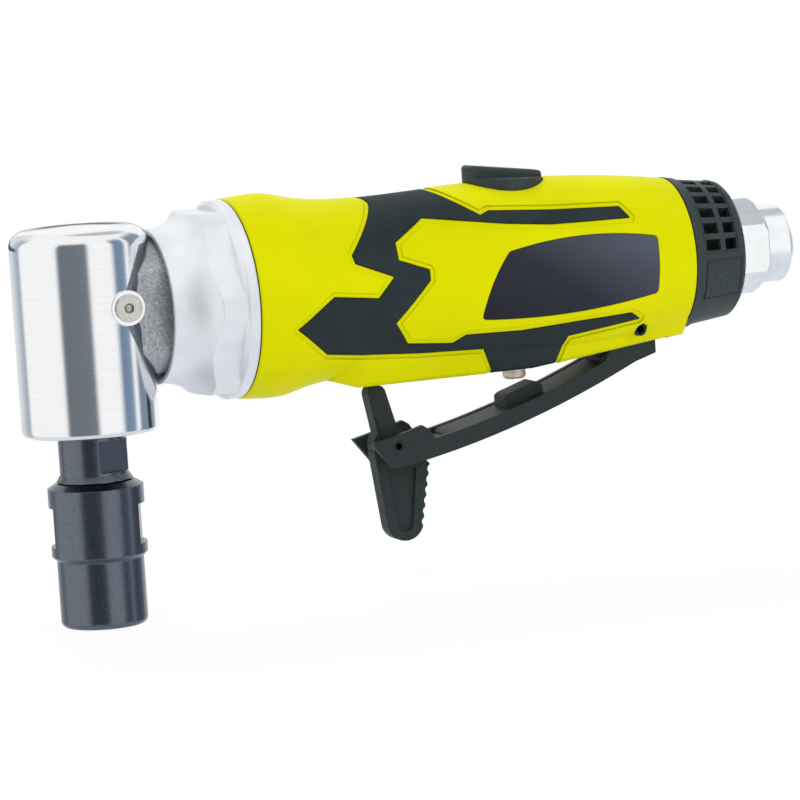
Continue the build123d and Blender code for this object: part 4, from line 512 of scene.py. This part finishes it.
# Clamp nut. Die-cast aluminium, tumbled to a pale satin; its throat holds the head's flange and its thread
# draws the head onto the motor sleeve.
#
# Tumbled die-cast metal scatters light evenly, with a soft pebble of about 0.6 mm and clouds of 9 mm.
tumble_mm = 0.6
cast_cloud_mm = 9.0
diecast, tree, shader, place, edge = new_finish("tumbled_diecast_aluminium", metallic=0.68, roughness=0.42, edge_mm=0.5)
pebble = add_node(tree, "ShaderNodeTexNoise", {"Scale": 1000 / tumble_mm, "Detail": 3.0}, {"Vector": place})
cloud = add_node(tree, "ShaderNodeTexNoise", {"Scale": 1000 / cast_cloud_mm, "Detail": 2.0}, {"Vector": place})
colour = add_node(
    tree, "ShaderNodeValToRGB", {"stops": [(0.3, "#EDF1F5"), (0.7, "#FAFBFD")]}, {"Fac": cloud.outputs["Fac"]}
)
tree.links.new(colour.outputs["Color"], shader.inputs["Base Color"])
gloss = add_node(tree, "ShaderNodeMapRange", {"To Min": 0.42, "To Max": 0.58}, {"Value": pebble.outputs["Fac"]})
tree.links.new(gloss.outputs["Result"], shader.inputs["Roughness"])
rough = add_node(
    tree, "ShaderNodeBump", {"Strength": 0.1, "Distance": 0.00008}, {"Height": pebble.outputs["Fac"], "Normal": edge}
)
tree.links.new(rough.outputs["Normal"], shader.inputs["Normal"])
give(diecast, "clamp_nut")

# Head gasket. A ring stamped from fibre sheet, pinched between the head's flange and the sleeve, where it keeps the
# gears' grease in.
#
# The sheet is matt and dark, with matted fibres about 0.7 mm long.
fibre_mm = 0.7
gasket_fibre, tree, shader, place, edge = new_finish("gasket_fibre", metallic=0.0, roughness=0.85, edge_mm=0.1)
fibre = add_node(tree, "ShaderNodeTexNoise", {"Scale": 1000 / fibre_mm, "Detail": 5.0}, {"Vector": place})
colour = add_node(
    tree, "ShaderNodeValToRGB", {"stops": [(0.3, "#23262A"), (0.7, "#3B4046")]}, {"Fac": fibre.outputs["Fac"]}
)
tree.links.new(colour.outputs["Color"], shader.inputs["Base Color"])
tree.links.new(edge, shader.inputs["Normal"])
give(gasket_fibre, "head_gasket")

# Motor sleeve, valve block and regulator spool. Machined from aluminium bar; the sleeve holds the vane
# motor, the block closes it and carries the throttle valve.
#
# Machined aluminium is a pale satin with tool lines, 0.1 mm apart and drawn at 0.5 mm, in streaks of 11 mm.
tool_mm = 0.5
tool_streak_mm = 11.111
machined, tree, shader, place, edge = new_finish("machined_aluminium", metallic=1.0, roughness=0.3, edge_mm=0.15)
tool_scale = (1000 / tool_mm, 1000 / tool_streak_mm, 1000 / tool_streak_mm)
lines = add_node(tree, "ShaderNodeMapping", {"Scale": tool_scale}, {"Vector": place})
lathe = add_node(tree, "ShaderNodeTexNoise", {"Scale": 1.0, "Detail": 2.0}, {"Vector": lines.outputs["Vector"]})
colour = add_node(
    tree, "ShaderNodeValToRGB", {"stops": [(0.3, "#BFC1C4"), (0.7, "#D6D7D9")]}, {"Fac": lathe.outputs["Fac"]}
)
tree.links.new(colour.outputs["Color"], shader.inputs["Base Color"])
gloss = add_node(tree, "ShaderNodeMapRange", {"To Min": 0.22, "To Max": 0.4}, {"Value": lathe.outputs["Fac"]})
tree.links.new(gloss.outputs["Result"], shader.inputs["Roughness"])
tree.links.new(edge, shader.inputs["Normal"])
give(machined, "motor_sleeve", "valve_block", "regulator_spool")

# Cylinder liner and end plates. Honed cast iron, slid into the sleeve; the liner's bore is off centre so that the
# vanes slide out and in, and the plates close its ends and hold the rotor's bearings.
#
# Honed iron is dark grey and dull, with graphite flakes of about 0.6 mm.
honing_mm = 0.6
cast_iron, tree, shader, place, edge = new_finish("honed_cast_iron", metallic=0.9, roughness=0.45, edge_mm=0.15)
flake = add_node(tree, "ShaderNodeTexNoise", {"Scale": 1000 / honing_mm, "Detail": 5.0}, {"Vector": place})
colour = add_node(
    tree, "ShaderNodeValToRGB", {"stops": [(0.3, "#4A4A4B"), (0.7, "#747475")]}, {"Fac": flake.outputs["Fac"]}
)
tree.links.new(colour.outputs["Color"], shader.inputs["Base Color"])
tree.links.new(edge, shader.inputs["Normal"])
give(cast_iron, "cylinder_liner", "front_end_plate", "rear_end_plate")

# Rotor vanes. Blades sawn from cotton-phenolic laminate, loose in the rotor's slots; the turn throws them against
# the liner, and the air pushes on them.
#
# The laminate is brown and half dull, and its cotton weave, 0.8 mm on the real part, is drawn as waves of 1.5 mm. At
# scale 1 a wave texture turns through 20 radians in a unit.
weave_mm = 1.508
waves_per_unit = 20 / (2 * math.pi)
phenolic, tree, shader, place, edge = new_finish("cotton_phenolic", metallic=0.0, roughness=0.5, edge_mm=0.1)
weave_scale = 1000 / weave_mm / waves_per_unit
weave = add_node(
    tree, "ShaderNodeTexWave", {"Scale": weave_scale, "Distortion": 2.0, "Detail": 2.0}, {"Vector": place}
)
colour = add_node(
    tree, "ShaderNodeValToRGB", {"stops": [(0.2, "#5A3A20"), (0.8, "#855B34")]}, {"Fac": weave.outputs["Fac"]}
)
tree.links.new(colour.outputs["Color"], shader.inputs["Base Color"])
tree.links.new(edge, shader.inputs["Normal"])
give(phenolic, "rotor_vanes")

# Valve plunger, valve bush and inlet screen. Tin bronze, turned from bar or pierced from sheet; the plunger slides in
# its bush and shows below the handle, where the lever pushes it.
#
# Fresh bronze is a pale straw satin with lathe rings, 0.1 mm apart and drawn at 0.3 mm, in streaks of 11 mm.
swirl_mm = 0.3
swirl_streak_mm = 11.111
bronze, tree, shader, place, edge = new_finish("turned_bronze", metallic=0.5, roughness=0.5, edge_mm=0.2)
swirl_scale = (1000 / swirl_streak_mm, 1000 / swirl_streak_mm, 1000 / swirl_mm)
rings = add_node(tree, "ShaderNodeMapping", {"Scale": swirl_scale}, {"Vector": place})
lathe = add_node(tree, "ShaderNodeTexNoise", {"Scale": 1.0, "Detail": 2.0}, {"Vector": rings.outputs["Vector"]})
colour = add_node(
    tree, "ShaderNodeValToRGB", {"stops": [(0.3, "#F3E2C6"), (0.7, "#FFF6E6")]}, {"Fac": lathe.outputs["Fac"]}
)
tree.links.new(colour.outputs["Color"], shader.inputs["Base Color"])
rough = add_node(
    tree, "ShaderNodeBump", {"Strength": 0.12, "Distance": 0.00004}, {"Height": lathe.outputs["Fac"], "Normal": edge}
)
tree.links.new(rough.outputs["Normal"], shader.inputs["Normal"])
give(bronze, "valve_plunger", "valve_bush", "inlet_screen")

# Seals. O-rings and the poppet's face are moulded nitrile rubber with a film of oil; the rings are stretched into
# grooves of the bush and the spool and around the inlet's thread.
#
# Oiled rubber is black and half glossy, with a greyish bloom in spots of about 0.9 mm.
film_mm = 0.9
nitrile, tree, shader, place, edge = new_finish("nitrile_rubber", metallic=0.0, roughness=0.45, edge_mm=0.1)
bloom = add_node(tree, "ShaderNodeTexNoise", {"Scale": 1000 / film_mm, "Detail": 3.0}, {"Vector": place})
colour = add_node(
    tree, "ShaderNodeValToRGB", {"stops": [(0.3, "#141516"), (0.7, "#24262A")]}, {"Fac": bloom.outputs["Fac"]}
)
tree.links.new(colour.outputs["Color"], shader.inputs["Base Color"])
gloss = add_node(tree, "ShaderNodeMapRange", {"To Min": 0.35, "To Max": 0.6}, {"Value": bloom.outputs["Fac"]})
tree.links.new(gloss.outputs["Result"], shader.inputs["Roughness"])
tree.links.new(edge, shader.inputs["Normal"])
give(nitrile, "bush_o_ring", "spool_o_ring", "inlet_o_ring", "valve_poppet")

# Handle. Glass-filled nylon, injection moulded in lime yellow around the motor sleeve, with a keel below that
# carries the lever and the plunger.
#
# Moulded nylon is satin: a weak gloss broken by a spark-eroded texture of about 0.3 mm, and its colour drifts a
# little along the flow of the melt. A thin dark olive band of painted shade runs along the front edge, for the shadow
# in the seam at the clamp nut.
spark_mm = 0.3
flow_mm = 18
seam_shade_width = 0.00035
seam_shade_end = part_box("grip_housing")[0].x + seam_shade_width
yellow_nylon, tree, shader, place, edge = new_finish("moulded_yellow_nylon", metallic=0.0, roughness=0.45, edge_mm=0.35)
shader.inputs["IOR"].default_value = 1.53
shader.inputs["Specular IOR Level"].default_value = 0.03
flow = add_node(tree, "ShaderNodeTexNoise", {"Scale": 1000 / flow_mm, "Detail": 2.0}, {"Vector": place})
spark = add_node(tree, "ShaderNodeTexNoise", {"Scale": 1000 / spark_mm, "Detail": 3.0}, {"Vector": place})
pigment = add_node(
    tree, "ShaderNodeValToRGB", {"stops": [(0.35, "#DADA00"), (0.65, "#E0E000")]}, {"Fac": flow.outputs["Fac"]}
)
at = add_node(tree, "ShaderNodeSeparateXYZ", links={"Vector": place})
# Painted shade: the first 0.35 mm of the handle behind its front edge is coloured dark olive, for the shadow in the gap
# at the clamp nut.
seam_shade = add_node(tree, "ShaderNodeMath", {"operation": "LESS_THAN", 1: seam_shade_end}, {0: at.outputs["X"]})
colour = add_node(
    tree,
    "ShaderNodeMix",
    {"data_type": "RGBA", 7: linear("#4C4E14")},
    {"Factor": seam_shade.outputs["Value"], 6: pigment.outputs["Color"]},
)
tree.links.new(colour.outputs[2], shader.inputs["Base Color"])
gloss = add_node(tree, "ShaderNodeMapRange", {"To Min": 0.36, "To Max": 0.54}, {"Value": spark.outputs["Fac"]})
tree.links.new(gloss.outputs["Result"], shader.inputs["Roughness"])
rough = add_node(
    tree, "ShaderNodeBump", {"Strength": 0.06, "Distance": 0.00006}, {"Height": spark.outputs["Fac"], "Normal": edge}
)
tree.links.new(rough.outputs["Normal"], shader.inputs["Normal"])
give(yellow_nylon, "grip_housing")

# Soft grip. Thermoplastic rubber moulded into a pocket of the handle, so that it lies just below the yellow; it bonds
# to the nylon as it sets.
#
# The rubber is matt, with a pebbled grain of 0.45 mm and a faint bloom in patches of 6 mm.
pebble_mm = 0.45
patch_mm = 6.0
grip_rubber, tree, shader, place, edge = new_finish("grip_rubber", metallic=0.0, roughness=0.6, edge_mm=0.4)
shader.inputs["Specular IOR Level"].default_value = 0.12
pebble = add_node(tree, "ShaderNodeTexVoronoi", {"Scale": 1000 / pebble_mm}, {"Vector": place})
patch = add_node(tree, "ShaderNodeTexNoise", {"Scale": 1000 / patch_mm, "Detail": 4.0}, {"Vector": place})
colour = add_node(
    tree, "ShaderNodeValToRGB", {"stops": [(0.3, "#232D2F"), (0.7, "#2C3638")]}, {"Fac": patch.outputs["Fac"]}
)
tree.links.new(colour.outputs["Color"], shader.inputs["Base Color"])
gloss = add_node(tree, "ShaderNodeMapRange", {"To Min": 0.52, "To Max": 0.7}, {"Value": patch.outputs["Fac"]})
tree.links.new(gloss.outputs["Result"], shader.inputs["Roughness"])
rough = add_node(
    tree,
    "ShaderNodeBump",
    {"Strength": 0.2, "Distance": 0.00008},
    {"Height": pebble.outputs["Distance"], "Normal": edge},
)
tree.links.new(rough.outputs["Normal"], shader.inputs["Normal"])
give(grip_rubber, "soft_grip")

# Side plate. A thin plate of hard-coated polyester, set flush into a pocket on the handle's near side and held there
# by adhesive.
#
# Its colour runs from charcoal at the lower front to a violet grey at the upper rear, under a smooth coat with
# fine metal flakes of 0.5 mm.
flake_mm = 0.5
flake_share = 0.08
rise_share = 0.6
blend_share = 0.6
plate_low, plate_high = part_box("side_plate")
plate_coat, tree, shader, place, edge = new_finish("coated_side_plate", metallic=0.0, roughness=0.35, edge_mm=0.2)
shader.inputs["Specular IOR Level"].default_value = 0.12
shader.inputs["Coat Weight"].default_value = 0.06
shader.inputs["Coat Roughness"].default_value = 0.2
at = add_node(tree, "ShaderNodeSeparateXYZ", links={"Vector": place})
run = add_node(
    tree,
    "ShaderNodeMapRange",
    {"From Min": plate_low.x, "From Max": plate_high.x},
    {"Value": at.outputs["X"]},
)
rise = add_node(
    tree,
    "ShaderNodeMapRange",
    {"From Min": plate_low.z, "From Max": plate_high.z, "To Max": rise_share},
    {"Value": at.outputs["Z"]},
)
fleck = add_node(tree, "ShaderNodeTexNoise", {"Scale": 1000 / flake_mm, "Detail": 2.0}, {"Vector": place})
diagonal = add_node(
    tree, "ShaderNodeMath", {"operation": "ADD"}, {0: run.outputs["Result"], 1: rise.outputs["Result"]}
)
sparkle = add_node(
    tree,
    "ShaderNodeMath",
    {"operation": "MULTIPLY_ADD", 1: flake_share},
    {0: fleck.outputs["Fac"], 2: diagonal.outputs["Value"]},
)
blend = add_node(tree, "ShaderNodeMath", {"operation": "MULTIPLY", 1: blend_share}, {0: sparkle.outputs["Value"]})
colour = add_node(
    tree,
    "ShaderNodeValToRGB",
    {"stops": [(0.0, "#21222A"), (0.45, "#2A2C36"), (0.95, "#525967")]},
    {"Fac": blend.outputs["Value"]},
)
tree.links.new(colour.outputs["Color"], shader.inputs["Base Color"])
tree.links.new(edge, shader.inputs["Normal"])
give(plate_coat, "side_plate")

# Throttle lever and safety latch. Glass-filled nylon moulded in black; the lever swings on a roll pin in the
# handle, the latch on a smaller one in the lever's fork.
#
# Black nylon is dull, with pale glass fibre showing as a faint speckle of 0.35 mm.
speckle_mm = 0.35
black_nylon, tree, shader, place, edge = new_finish("moulded_black_nylon", metallic=0.0, roughness=0.5, edge_mm=0.35)
shader.inputs["Specular IOR Level"].default_value = 0.2
speckle = add_node(tree, "ShaderNodeTexNoise", {"Scale": 1000 / speckle_mm, "Detail": 3.0}, {"Vector": place})
colour = add_node(
    tree,
    "ShaderNodeValToRGB",
    {"stops": [(0.35, "#252C2D"), (0.6, "#2F3738"), (0.75, "#3D4647")]},
    {"Fac": speckle.outputs["Fac"]},
)
tree.links.new(colour.outputs["Color"], shader.inputs["Base Color"])
gloss = add_node(tree, "ShaderNodeMapRange", {"To Min": 0.4, "To Max": 0.58}, {"Value": speckle.outputs["Fac"]})
tree.links.new(gloss.outputs["Result"], shader.inputs["Roughness"])
rough = add_node(
    tree, "ShaderNodeBump", {"Strength": 0.15, "Distance": 0.00008}, {"Height": speckle.outputs["Fac"], "Normal": edge}
)
tree.links.new(rough.outputs["Normal"], shader.inputs["Normal"])
give(black_nylon, "throttle_lever", "safety_latch")

# The lever's floor is moulded almost level with its side walls, apart from a low step where the folded latch lies. It
# follows the lever's underside, which falls away from below the lever's pin and then levels off.
pin_x = 0.1285
underside_height = 0.0462
underside_slope = 0.46
underside_bend = 2.6
floor_front = 0.0827
floor_step = 0.001
floor_rear = 0.1209
floor_half_width = 0.00515
floor_corner = 0.0003
floor_foot = 0.003
floor_height = 0.00395
floor_stations = 24
floor_loops = []
for station in range(-1, floor_stations + 1):
    x = floor_front + floor_step + (floor_rear - floor_front - floor_step) * station / floor_stations
    height = floor_height
    if station < 0:
        x, height = floor_front, floor_foot + floor_corner
    reach = pin_x - x
    underside = underside_height - underside_slope * reach + underside_bend * reach**2
    foot, crest = underside + floor_foot, underside + height
    shoulder = max(crest - floor_corner, foot + floor_corner / 4)
    floor_loops.append(
        [
            (x, -floor_half_width, foot),
            (x, -floor_half_width, shoulder),
            (x, floor_corner - floor_half_width, crest),
            (x, floor_half_width - floor_corner, crest),
            (x, floor_half_width, shoulder),
            (x, floor_half_width, foot),
        ]
    )
add_loft("lever_floor", floor_loops, black_nylon, "lever")

# Regulator knob and exhaust collar. Moulded in dark grey nylon; the knob is pressed onto the spool's stem and has
# a bar for the thumb, the collar is held by the inlet and turns on it.
#
# Grey nylon has the same dull speckle as the black, a shade lighter.
grey_nylon, tree, shader, place, edge = new_finish("moulded_grey_nylon", metallic=0.0, roughness=0.45, edge_mm=0.1)
shader.inputs["Specular IOR Level"].default_value = 0.2
speckle = add_node(tree, "ShaderNodeTexNoise", {"Scale": 1000 / speckle_mm, "Detail": 3.0}, {"Vector": place})
colour = add_node(
    tree, "ShaderNodeValToRGB", {"stops": [(0.35, "#2E3638"), (0.7, "#40494B")]}, {"Fac": speckle.outputs["Fac"]}
)
tree.links.new(colour.outputs["Color"], shader.inputs["Base Color"])
rough = add_node(
    tree, "ShaderNodeBump", {"Strength": 0.12, "Distance": 0.00008}, {"Height": speckle.outputs["Fac"], "Normal": edge}
)
tree.links.new(rough.outputs["Normal"], shader.inputs["Normal"])
give(grey_nylon, "regulator_knob", "exhaust_collar")

# Fine ribs are moulded on the collar, one around its slots and one around the plain field below them. Each is given
# by its ends along the collar and by its angles above the middle of the near side. The collar is a cone that has
# cone_radius at cone_start and narrows by cone_slope.
rib_height = 0.00018
rib_sink = 0.0002
rib_width = 0.00026
rib_steps = 60
cone_start = 0.0022
cone_radius = 0.0169
cone_slope = 0.1275
collar_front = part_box("exhaust_collar")[0].x
for rib_name, rib_start, rib_end, low_degrees, high_degrees in (
    ("slot_field_rib", 0.0025, 0.0112, 3, 177),
    ("lower_field_rib", 0.0028, 0.0119, -36, -3.5),
):
    rib_path = [(-1 + 2 * step / rib_steps, 1) for step in range(rib_steps)] + [(1, 1)]
    rib_path += [(1 - 2 * step / rib_steps, -1) for step in range(rib_steps)] + [(-1, -1)]
    rib_loops = []
    for across, along in rib_path:
        loop = []
        for half_width, rise in (
            (rib_width / 2, -rib_sink),
            (rib_width / 2, rib_height),
            (-rib_width / 2, rib_height),
            (-rib_width / 2, -rib_sink),
        ):
            x = (rib_start + rib_end) / 2 + along * ((rib_end - rib_start) / 2 + half_width)
            angle = math.radians(low_degrees + high_degrees) / 2
            angle += across * (math.radians(high_degrees - low_degrees) / 2 + half_width / cone_radius)
            radius = cone_radius - cone_slope * (x - cone_start) + rise
            loop.append((collar_front + x, -radius * math.cos(angle), motor_axis_z + radius * math.sin(angle)))
        rib_loops.append(loop)
    add_loft(rib_name, rib_loops, grey_nylon, "exhaust", ring=True)

# Exhaust silencer. A ring of pressed wool felt behind the collar's slots, slipped over the inlet's journal to quieten
# the air.
#
# Oily felt is nearly black and quite matt, with tufts of 0.25 mm.
wool_mm = 0.25
wool_felt, tree, shader, place, edge = new_finish("wool_felt", metallic=0.0, roughness=0.95, edge_mm=0.1)
shader.inputs["Sheen Weight"].default_value = 0.1
wool = add_node(tree, "ShaderNodeTexNoise", {"Scale": 1000 / wool_mm, "Detail": 6.0}, {"Vector": place})
colour = add_node(
    tree, "ShaderNodeValToRGB", {"stops": [(0.3, "#131414"), (0.7, "#262727")]}, {"Fac": wool.outputs["Fac"]}
)
tree.links.new(colour.outputs["Color"], shader.inputs["Base Color"])
rough = add_node(
    tree, "ShaderNodeBump", {"Strength": 0.8, "Distance": 0.0002}, {"Height": wool.outputs["Fac"], "Normal": edge}
)
tree.links.new(rough.outputs["Normal"], shader.inputs["Normal"])
give(wool_felt, "exhaust_silencer")

# Studio. A round white table, which the camera sees as nearly even white and sees through from below, in a white room.
# The buffed head and the plated inlet mirror the room: its walls with dark gaps between them, a dark gap at the foot of
# the back wall, the pale floor and a grey panel in the ceiling. Neither the table nor the lamps show in mirrors.
table_radius = 0.32
table_middle = (0.077, 0, -0.0002)
table_glow = 0.94
table_mesh = bpy.data.meshes.new("studio_table")
table_form = bmesh.new()
bmesh.ops.create_circle(table_form, cap_ends=True, segments=96, radius=table_radius)
bmesh.ops.translate(table_form, vec=table_middle, verts=table_form.verts)
table_form.to_mesh(table_mesh)
table_form.free()
table = bpy.data.objects.new("studio_table", table_mesh)
bpy.context.scene.collection.objects.link(table)
table.visible_glossy = False
table_white = bpy.data.materials.new("studio_white")
table_white.use_nodes = True
tree = table_white.node_tree
shader = tree.nodes["Principled BSDF"]
shader.inputs["Base Color"].default_value = linear("#F8F8F8")
shader.inputs["Roughness"].default_value = 0.9
glow = add_node(tree, "ShaderNodeEmission", {"Strength": 1.0})
ray = add_node(tree, "ShaderNodeLightPath")
side = add_node(tree, "ShaderNodeNewGeometry")
clear = add_node(tree, "ShaderNodeBsdfTransparent")
seen = add_node(tree, "ShaderNodeMath", {"operation": "MULTIPLY", 1: table_glow}, {0: ray.outputs["Is Camera Ray"]})
lit = add_node(
    tree,
    "ShaderNodeMixShader",
    links={0: seen.outputs["Value"], 1: shader.outputs["BSDF"], 2: glow.outputs["Emission"]},
)
one_sided = add_node(
    tree,
    "ShaderNodeMixShader",
    links={0: side.outputs["Backfacing"], 1: lit.outputs["Shader"], 2: clear.outputs["BSDF"]},
)
tree.links.new(one_sided.outputs["Shader"], tree.nodes["Material Output"].inputs["Surface"])
table_mesh.materials.append(table_white)

# An even white lights all surfaces. Only mirroring ones see the walls, and the camera itself sees plain white.
panel_direction = (0.353, 0.362, 0.863)
world = bpy.data.worlds.new("studio")
bpy.context.scene.world = world
world.use_nodes = True
tree = world.node_tree
soft = tree.nodes["Background"]
soft.inputs["Color"].default_value = linear("#FFFFFF")
soft.inputs["Strength"].default_value = 0.73
around = add_node(tree, "ShaderNodeTexCoord").outputs["Generated"]
at = add_node(tree, "ShaderNodeSeparateXYZ", links={"Vector": around})
round_room = add_node(tree, "ShaderNodeMath", {"operation": "ARCTAN2"}, {0: at.outputs["Y"], 1: at.outputs["X"]})
turn = add_node(
    tree,
    "ShaderNodeMapRange",
    {"From Min": -math.pi, "From Max": math.pi},
    {"Value": round_room.outputs["Value"]},
)
# The walls and the gaps between them, by their place on a turn around the room, below a white ceiling.
walls = add_node(
    tree,
    "ShaderNodeValToRGB",
    {
        "stops": [
            (0.0, "#FFFFFF"),
            (0.088, "#FFFFFF"),
            (0.106, "#6A727A"),
            (0.232, "#737B83"),
            (0.25, "#FFFFFF"),
            (0.35, "#FFFFFF"),
            (0.375, "#7084A0"),
            (0.422, "#8398AE"),
            (0.437, "#FFFFFF"),
            (0.448, "#FFFFFF"),
            (0.464, "#76879A"),
            (0.565, "#94A5B5"),
            (0.585, "#FFFFFF"),
            (0.73, "#FFFFFF"),
            (0.75, "#DDE3E8"),
            (0.79, "#DDE3E8"),
            (0.866, "#A2ADB8"),
            (0.885, "#FFFFFF"),
            (1.0, "#FFFFFF"),
        ]
    },
    {"Fac": turn.outputs["Result"]},
)
ceiling = add_node(
    tree,
    "ShaderNodeMapRange",
    {"interpolation_type": "SMOOTHSTEP", "From Min": 0.5, "From Max": 0.78},
    {"Value": at.outputs["Z"]},
)
room = add_node(
    tree,
    "ShaderNodeMix",
    {"data_type": "RGBA", 7: linear("#FFFFFF")},
    {"Factor": ceiling.outputs["Result"], 6: walls.outputs["Color"]},
)
# The dark gap at the foot of the back wall.
under_wall = add_node(
    tree,
    "ShaderNodeMapRange",
    {"interpolation_type": "SMOOTHSTEP", "From Min": 0.079, "From Max": 0.052},
    {"Value": at.outputs["Z"]},
)
over_table = add_node(
    tree,
    "ShaderNodeMapRange",
    {"interpolation_type": "SMOOTHSTEP", "From Min": -0.07, "From Max": -0.05},
    {"Value": at.outputs["Z"]},
)
at_back = add_node(
    tree,
    "ShaderNodeMapRange",
    {"interpolation_type": "SMOOTHSTEP", "From Min": 0.75, "From Max": 0.88},
    {"Value": at.outputs["Y"]},
)
gap = under_wall
for bound in (over_table, at_back):
    gap = add_node(tree, "ShaderNodeMath", {"operation": "MULTIPLY"}, {0: gap.outputs[0], 1: bound.outputs[0]})
room_with_gap = add_node(
    tree,
    "ShaderNodeMix",
    {"data_type": "RGBA", 7: linear("#555D65")},
    {"Factor": gap.outputs[0], 6: room.outputs[2]},
)
# The pale floor, and the grey panel in the ceiling.
downwards = add_node(
    tree,
    "ShaderNodeMapRange",
    {"interpolation_type": "SMOOTHSTEP", "From Min": -0.3, "From Max": -0.5},
    {"Value": at.outputs["Z"]},
)
room_with_floor = add_node(
    tree,
    "ShaderNodeMix",
    {"data_type": "RGBA", 7: linear("#DFE3EB")},
    {"Factor": downwards.outputs["Result"], 6: room_with_gap.outputs[2]},
)
towards_panel = add_node(
    tree, "ShaderNodeVectorMath", {"operation": "DOT_PRODUCT", 1: panel_direction}, {0: around}
)
panel = add_node(
    tree,
    "ShaderNodeMapRange",
    {"interpolation_type": "SMOOTHSTEP", "From Min": 0.93, "From Max": 0.975},
    {"Value": towards_panel.outputs["Value"]},
)
room_with_panel = add_node(
    tree,
    "ShaderNodeMix",
    {"data_type": "RGBA", 7: linear("#C2C6CC")},
    {"Factor": panel.outputs["Result"], 6: room_with_floor.outputs[2]},
)
studio = add_node(tree, "ShaderNodeBackground", {"Strength": 1.0}, {"Color": room_with_panel.outputs[2]})
white = add_node(tree, "ShaderNodeBackground", {"Color": linear("#FFFFFF"), "Strength": 1.0})
ray = add_node(tree, "ShaderNodeLightPath")
mirrored = add_node(
    tree,
    "ShaderNodeMath",
    {"operation": "MAXIMUM"},
    {0: ray.outputs["Is Glossy Ray"], 1: ray.outputs["Is Transmission Ray"]},
)
in_mirror = add_node(
    tree,
    "ShaderNodeMixShader",
    links={0: mirrored.outputs["Value"], 1: soft.outputs["Background"], 2: studio.outputs["Background"]},
)
in_view = add_node(
    tree,
    "ShaderNodeMixShader",
    links={0: ray.outputs["Is Camera Ray"], 1: in_mirror.outputs["Shader"], 2: white.outputs["Background"]},
)
tree.links.new(in_view.outputs["Shader"], tree.nodes["World Output"].inputs["Surface"])

# Three round soft boxes, given by their place and width in metres and their power in watts, aim at the handle.
lamp_target = Vector((0.08, 0, 0.05))
for lamp_name, at_point, size, power in (
    ("key_box", (-0.35, -0.75, 0.75), 0.55, 1.9),
    ("fill_box", (0.75, -0.7, 0.35), 0.5, 1.6),
    ("back_box", (0.1, 0.7, 0.8), 0.6, 4.2),
):
    lamp = bpy.data.lights.new(lamp_name, "AREA")
    lamp.shape = "DISK"
    lamp.size = size
    lamp.energy = power
    box = bpy.data.objects.new(lamp_name, lamp)
    box.location = at_point
    box.rotation_euler = (lamp_target - Vector(at_point)).to_track_quat("-Z", "Y").to_euler()
    box.visible_glossy = False
    bpy.context.scene.collection.objects.link(box)

# Camera at the photograph's viewing angle: a long lens from the near side, a little above and towards the head.
camera_place = (-0.3746, -1.1771, 0.1909)
camera_data = bpy.data.cameras.new("camera")
camera_data.sensor_width = 36.0
camera_data.lens = 253.03
camera_data.clip_start = 0.05
camera_data.clip_end = 10.0
camera = bpy.data.objects.new("camera", camera_data)
right = Vector((0.9298, -0.3621, -0.0660)).normalized()
forward = Vector((0.3532, 0.9282, -0.1170)).normalized()
up = right.cross(forward).normalized()
facing = Matrix((right, up, -forward)).transposed().to_4x4()
camera.matrix_world = Matrix.Translation(camera_place) @ facing
bpy.context.scene.collection.objects.link(camera)
bpy.context.scene.camera = camera
bpy.context.scene.view_settings.view_transform = "Standard"
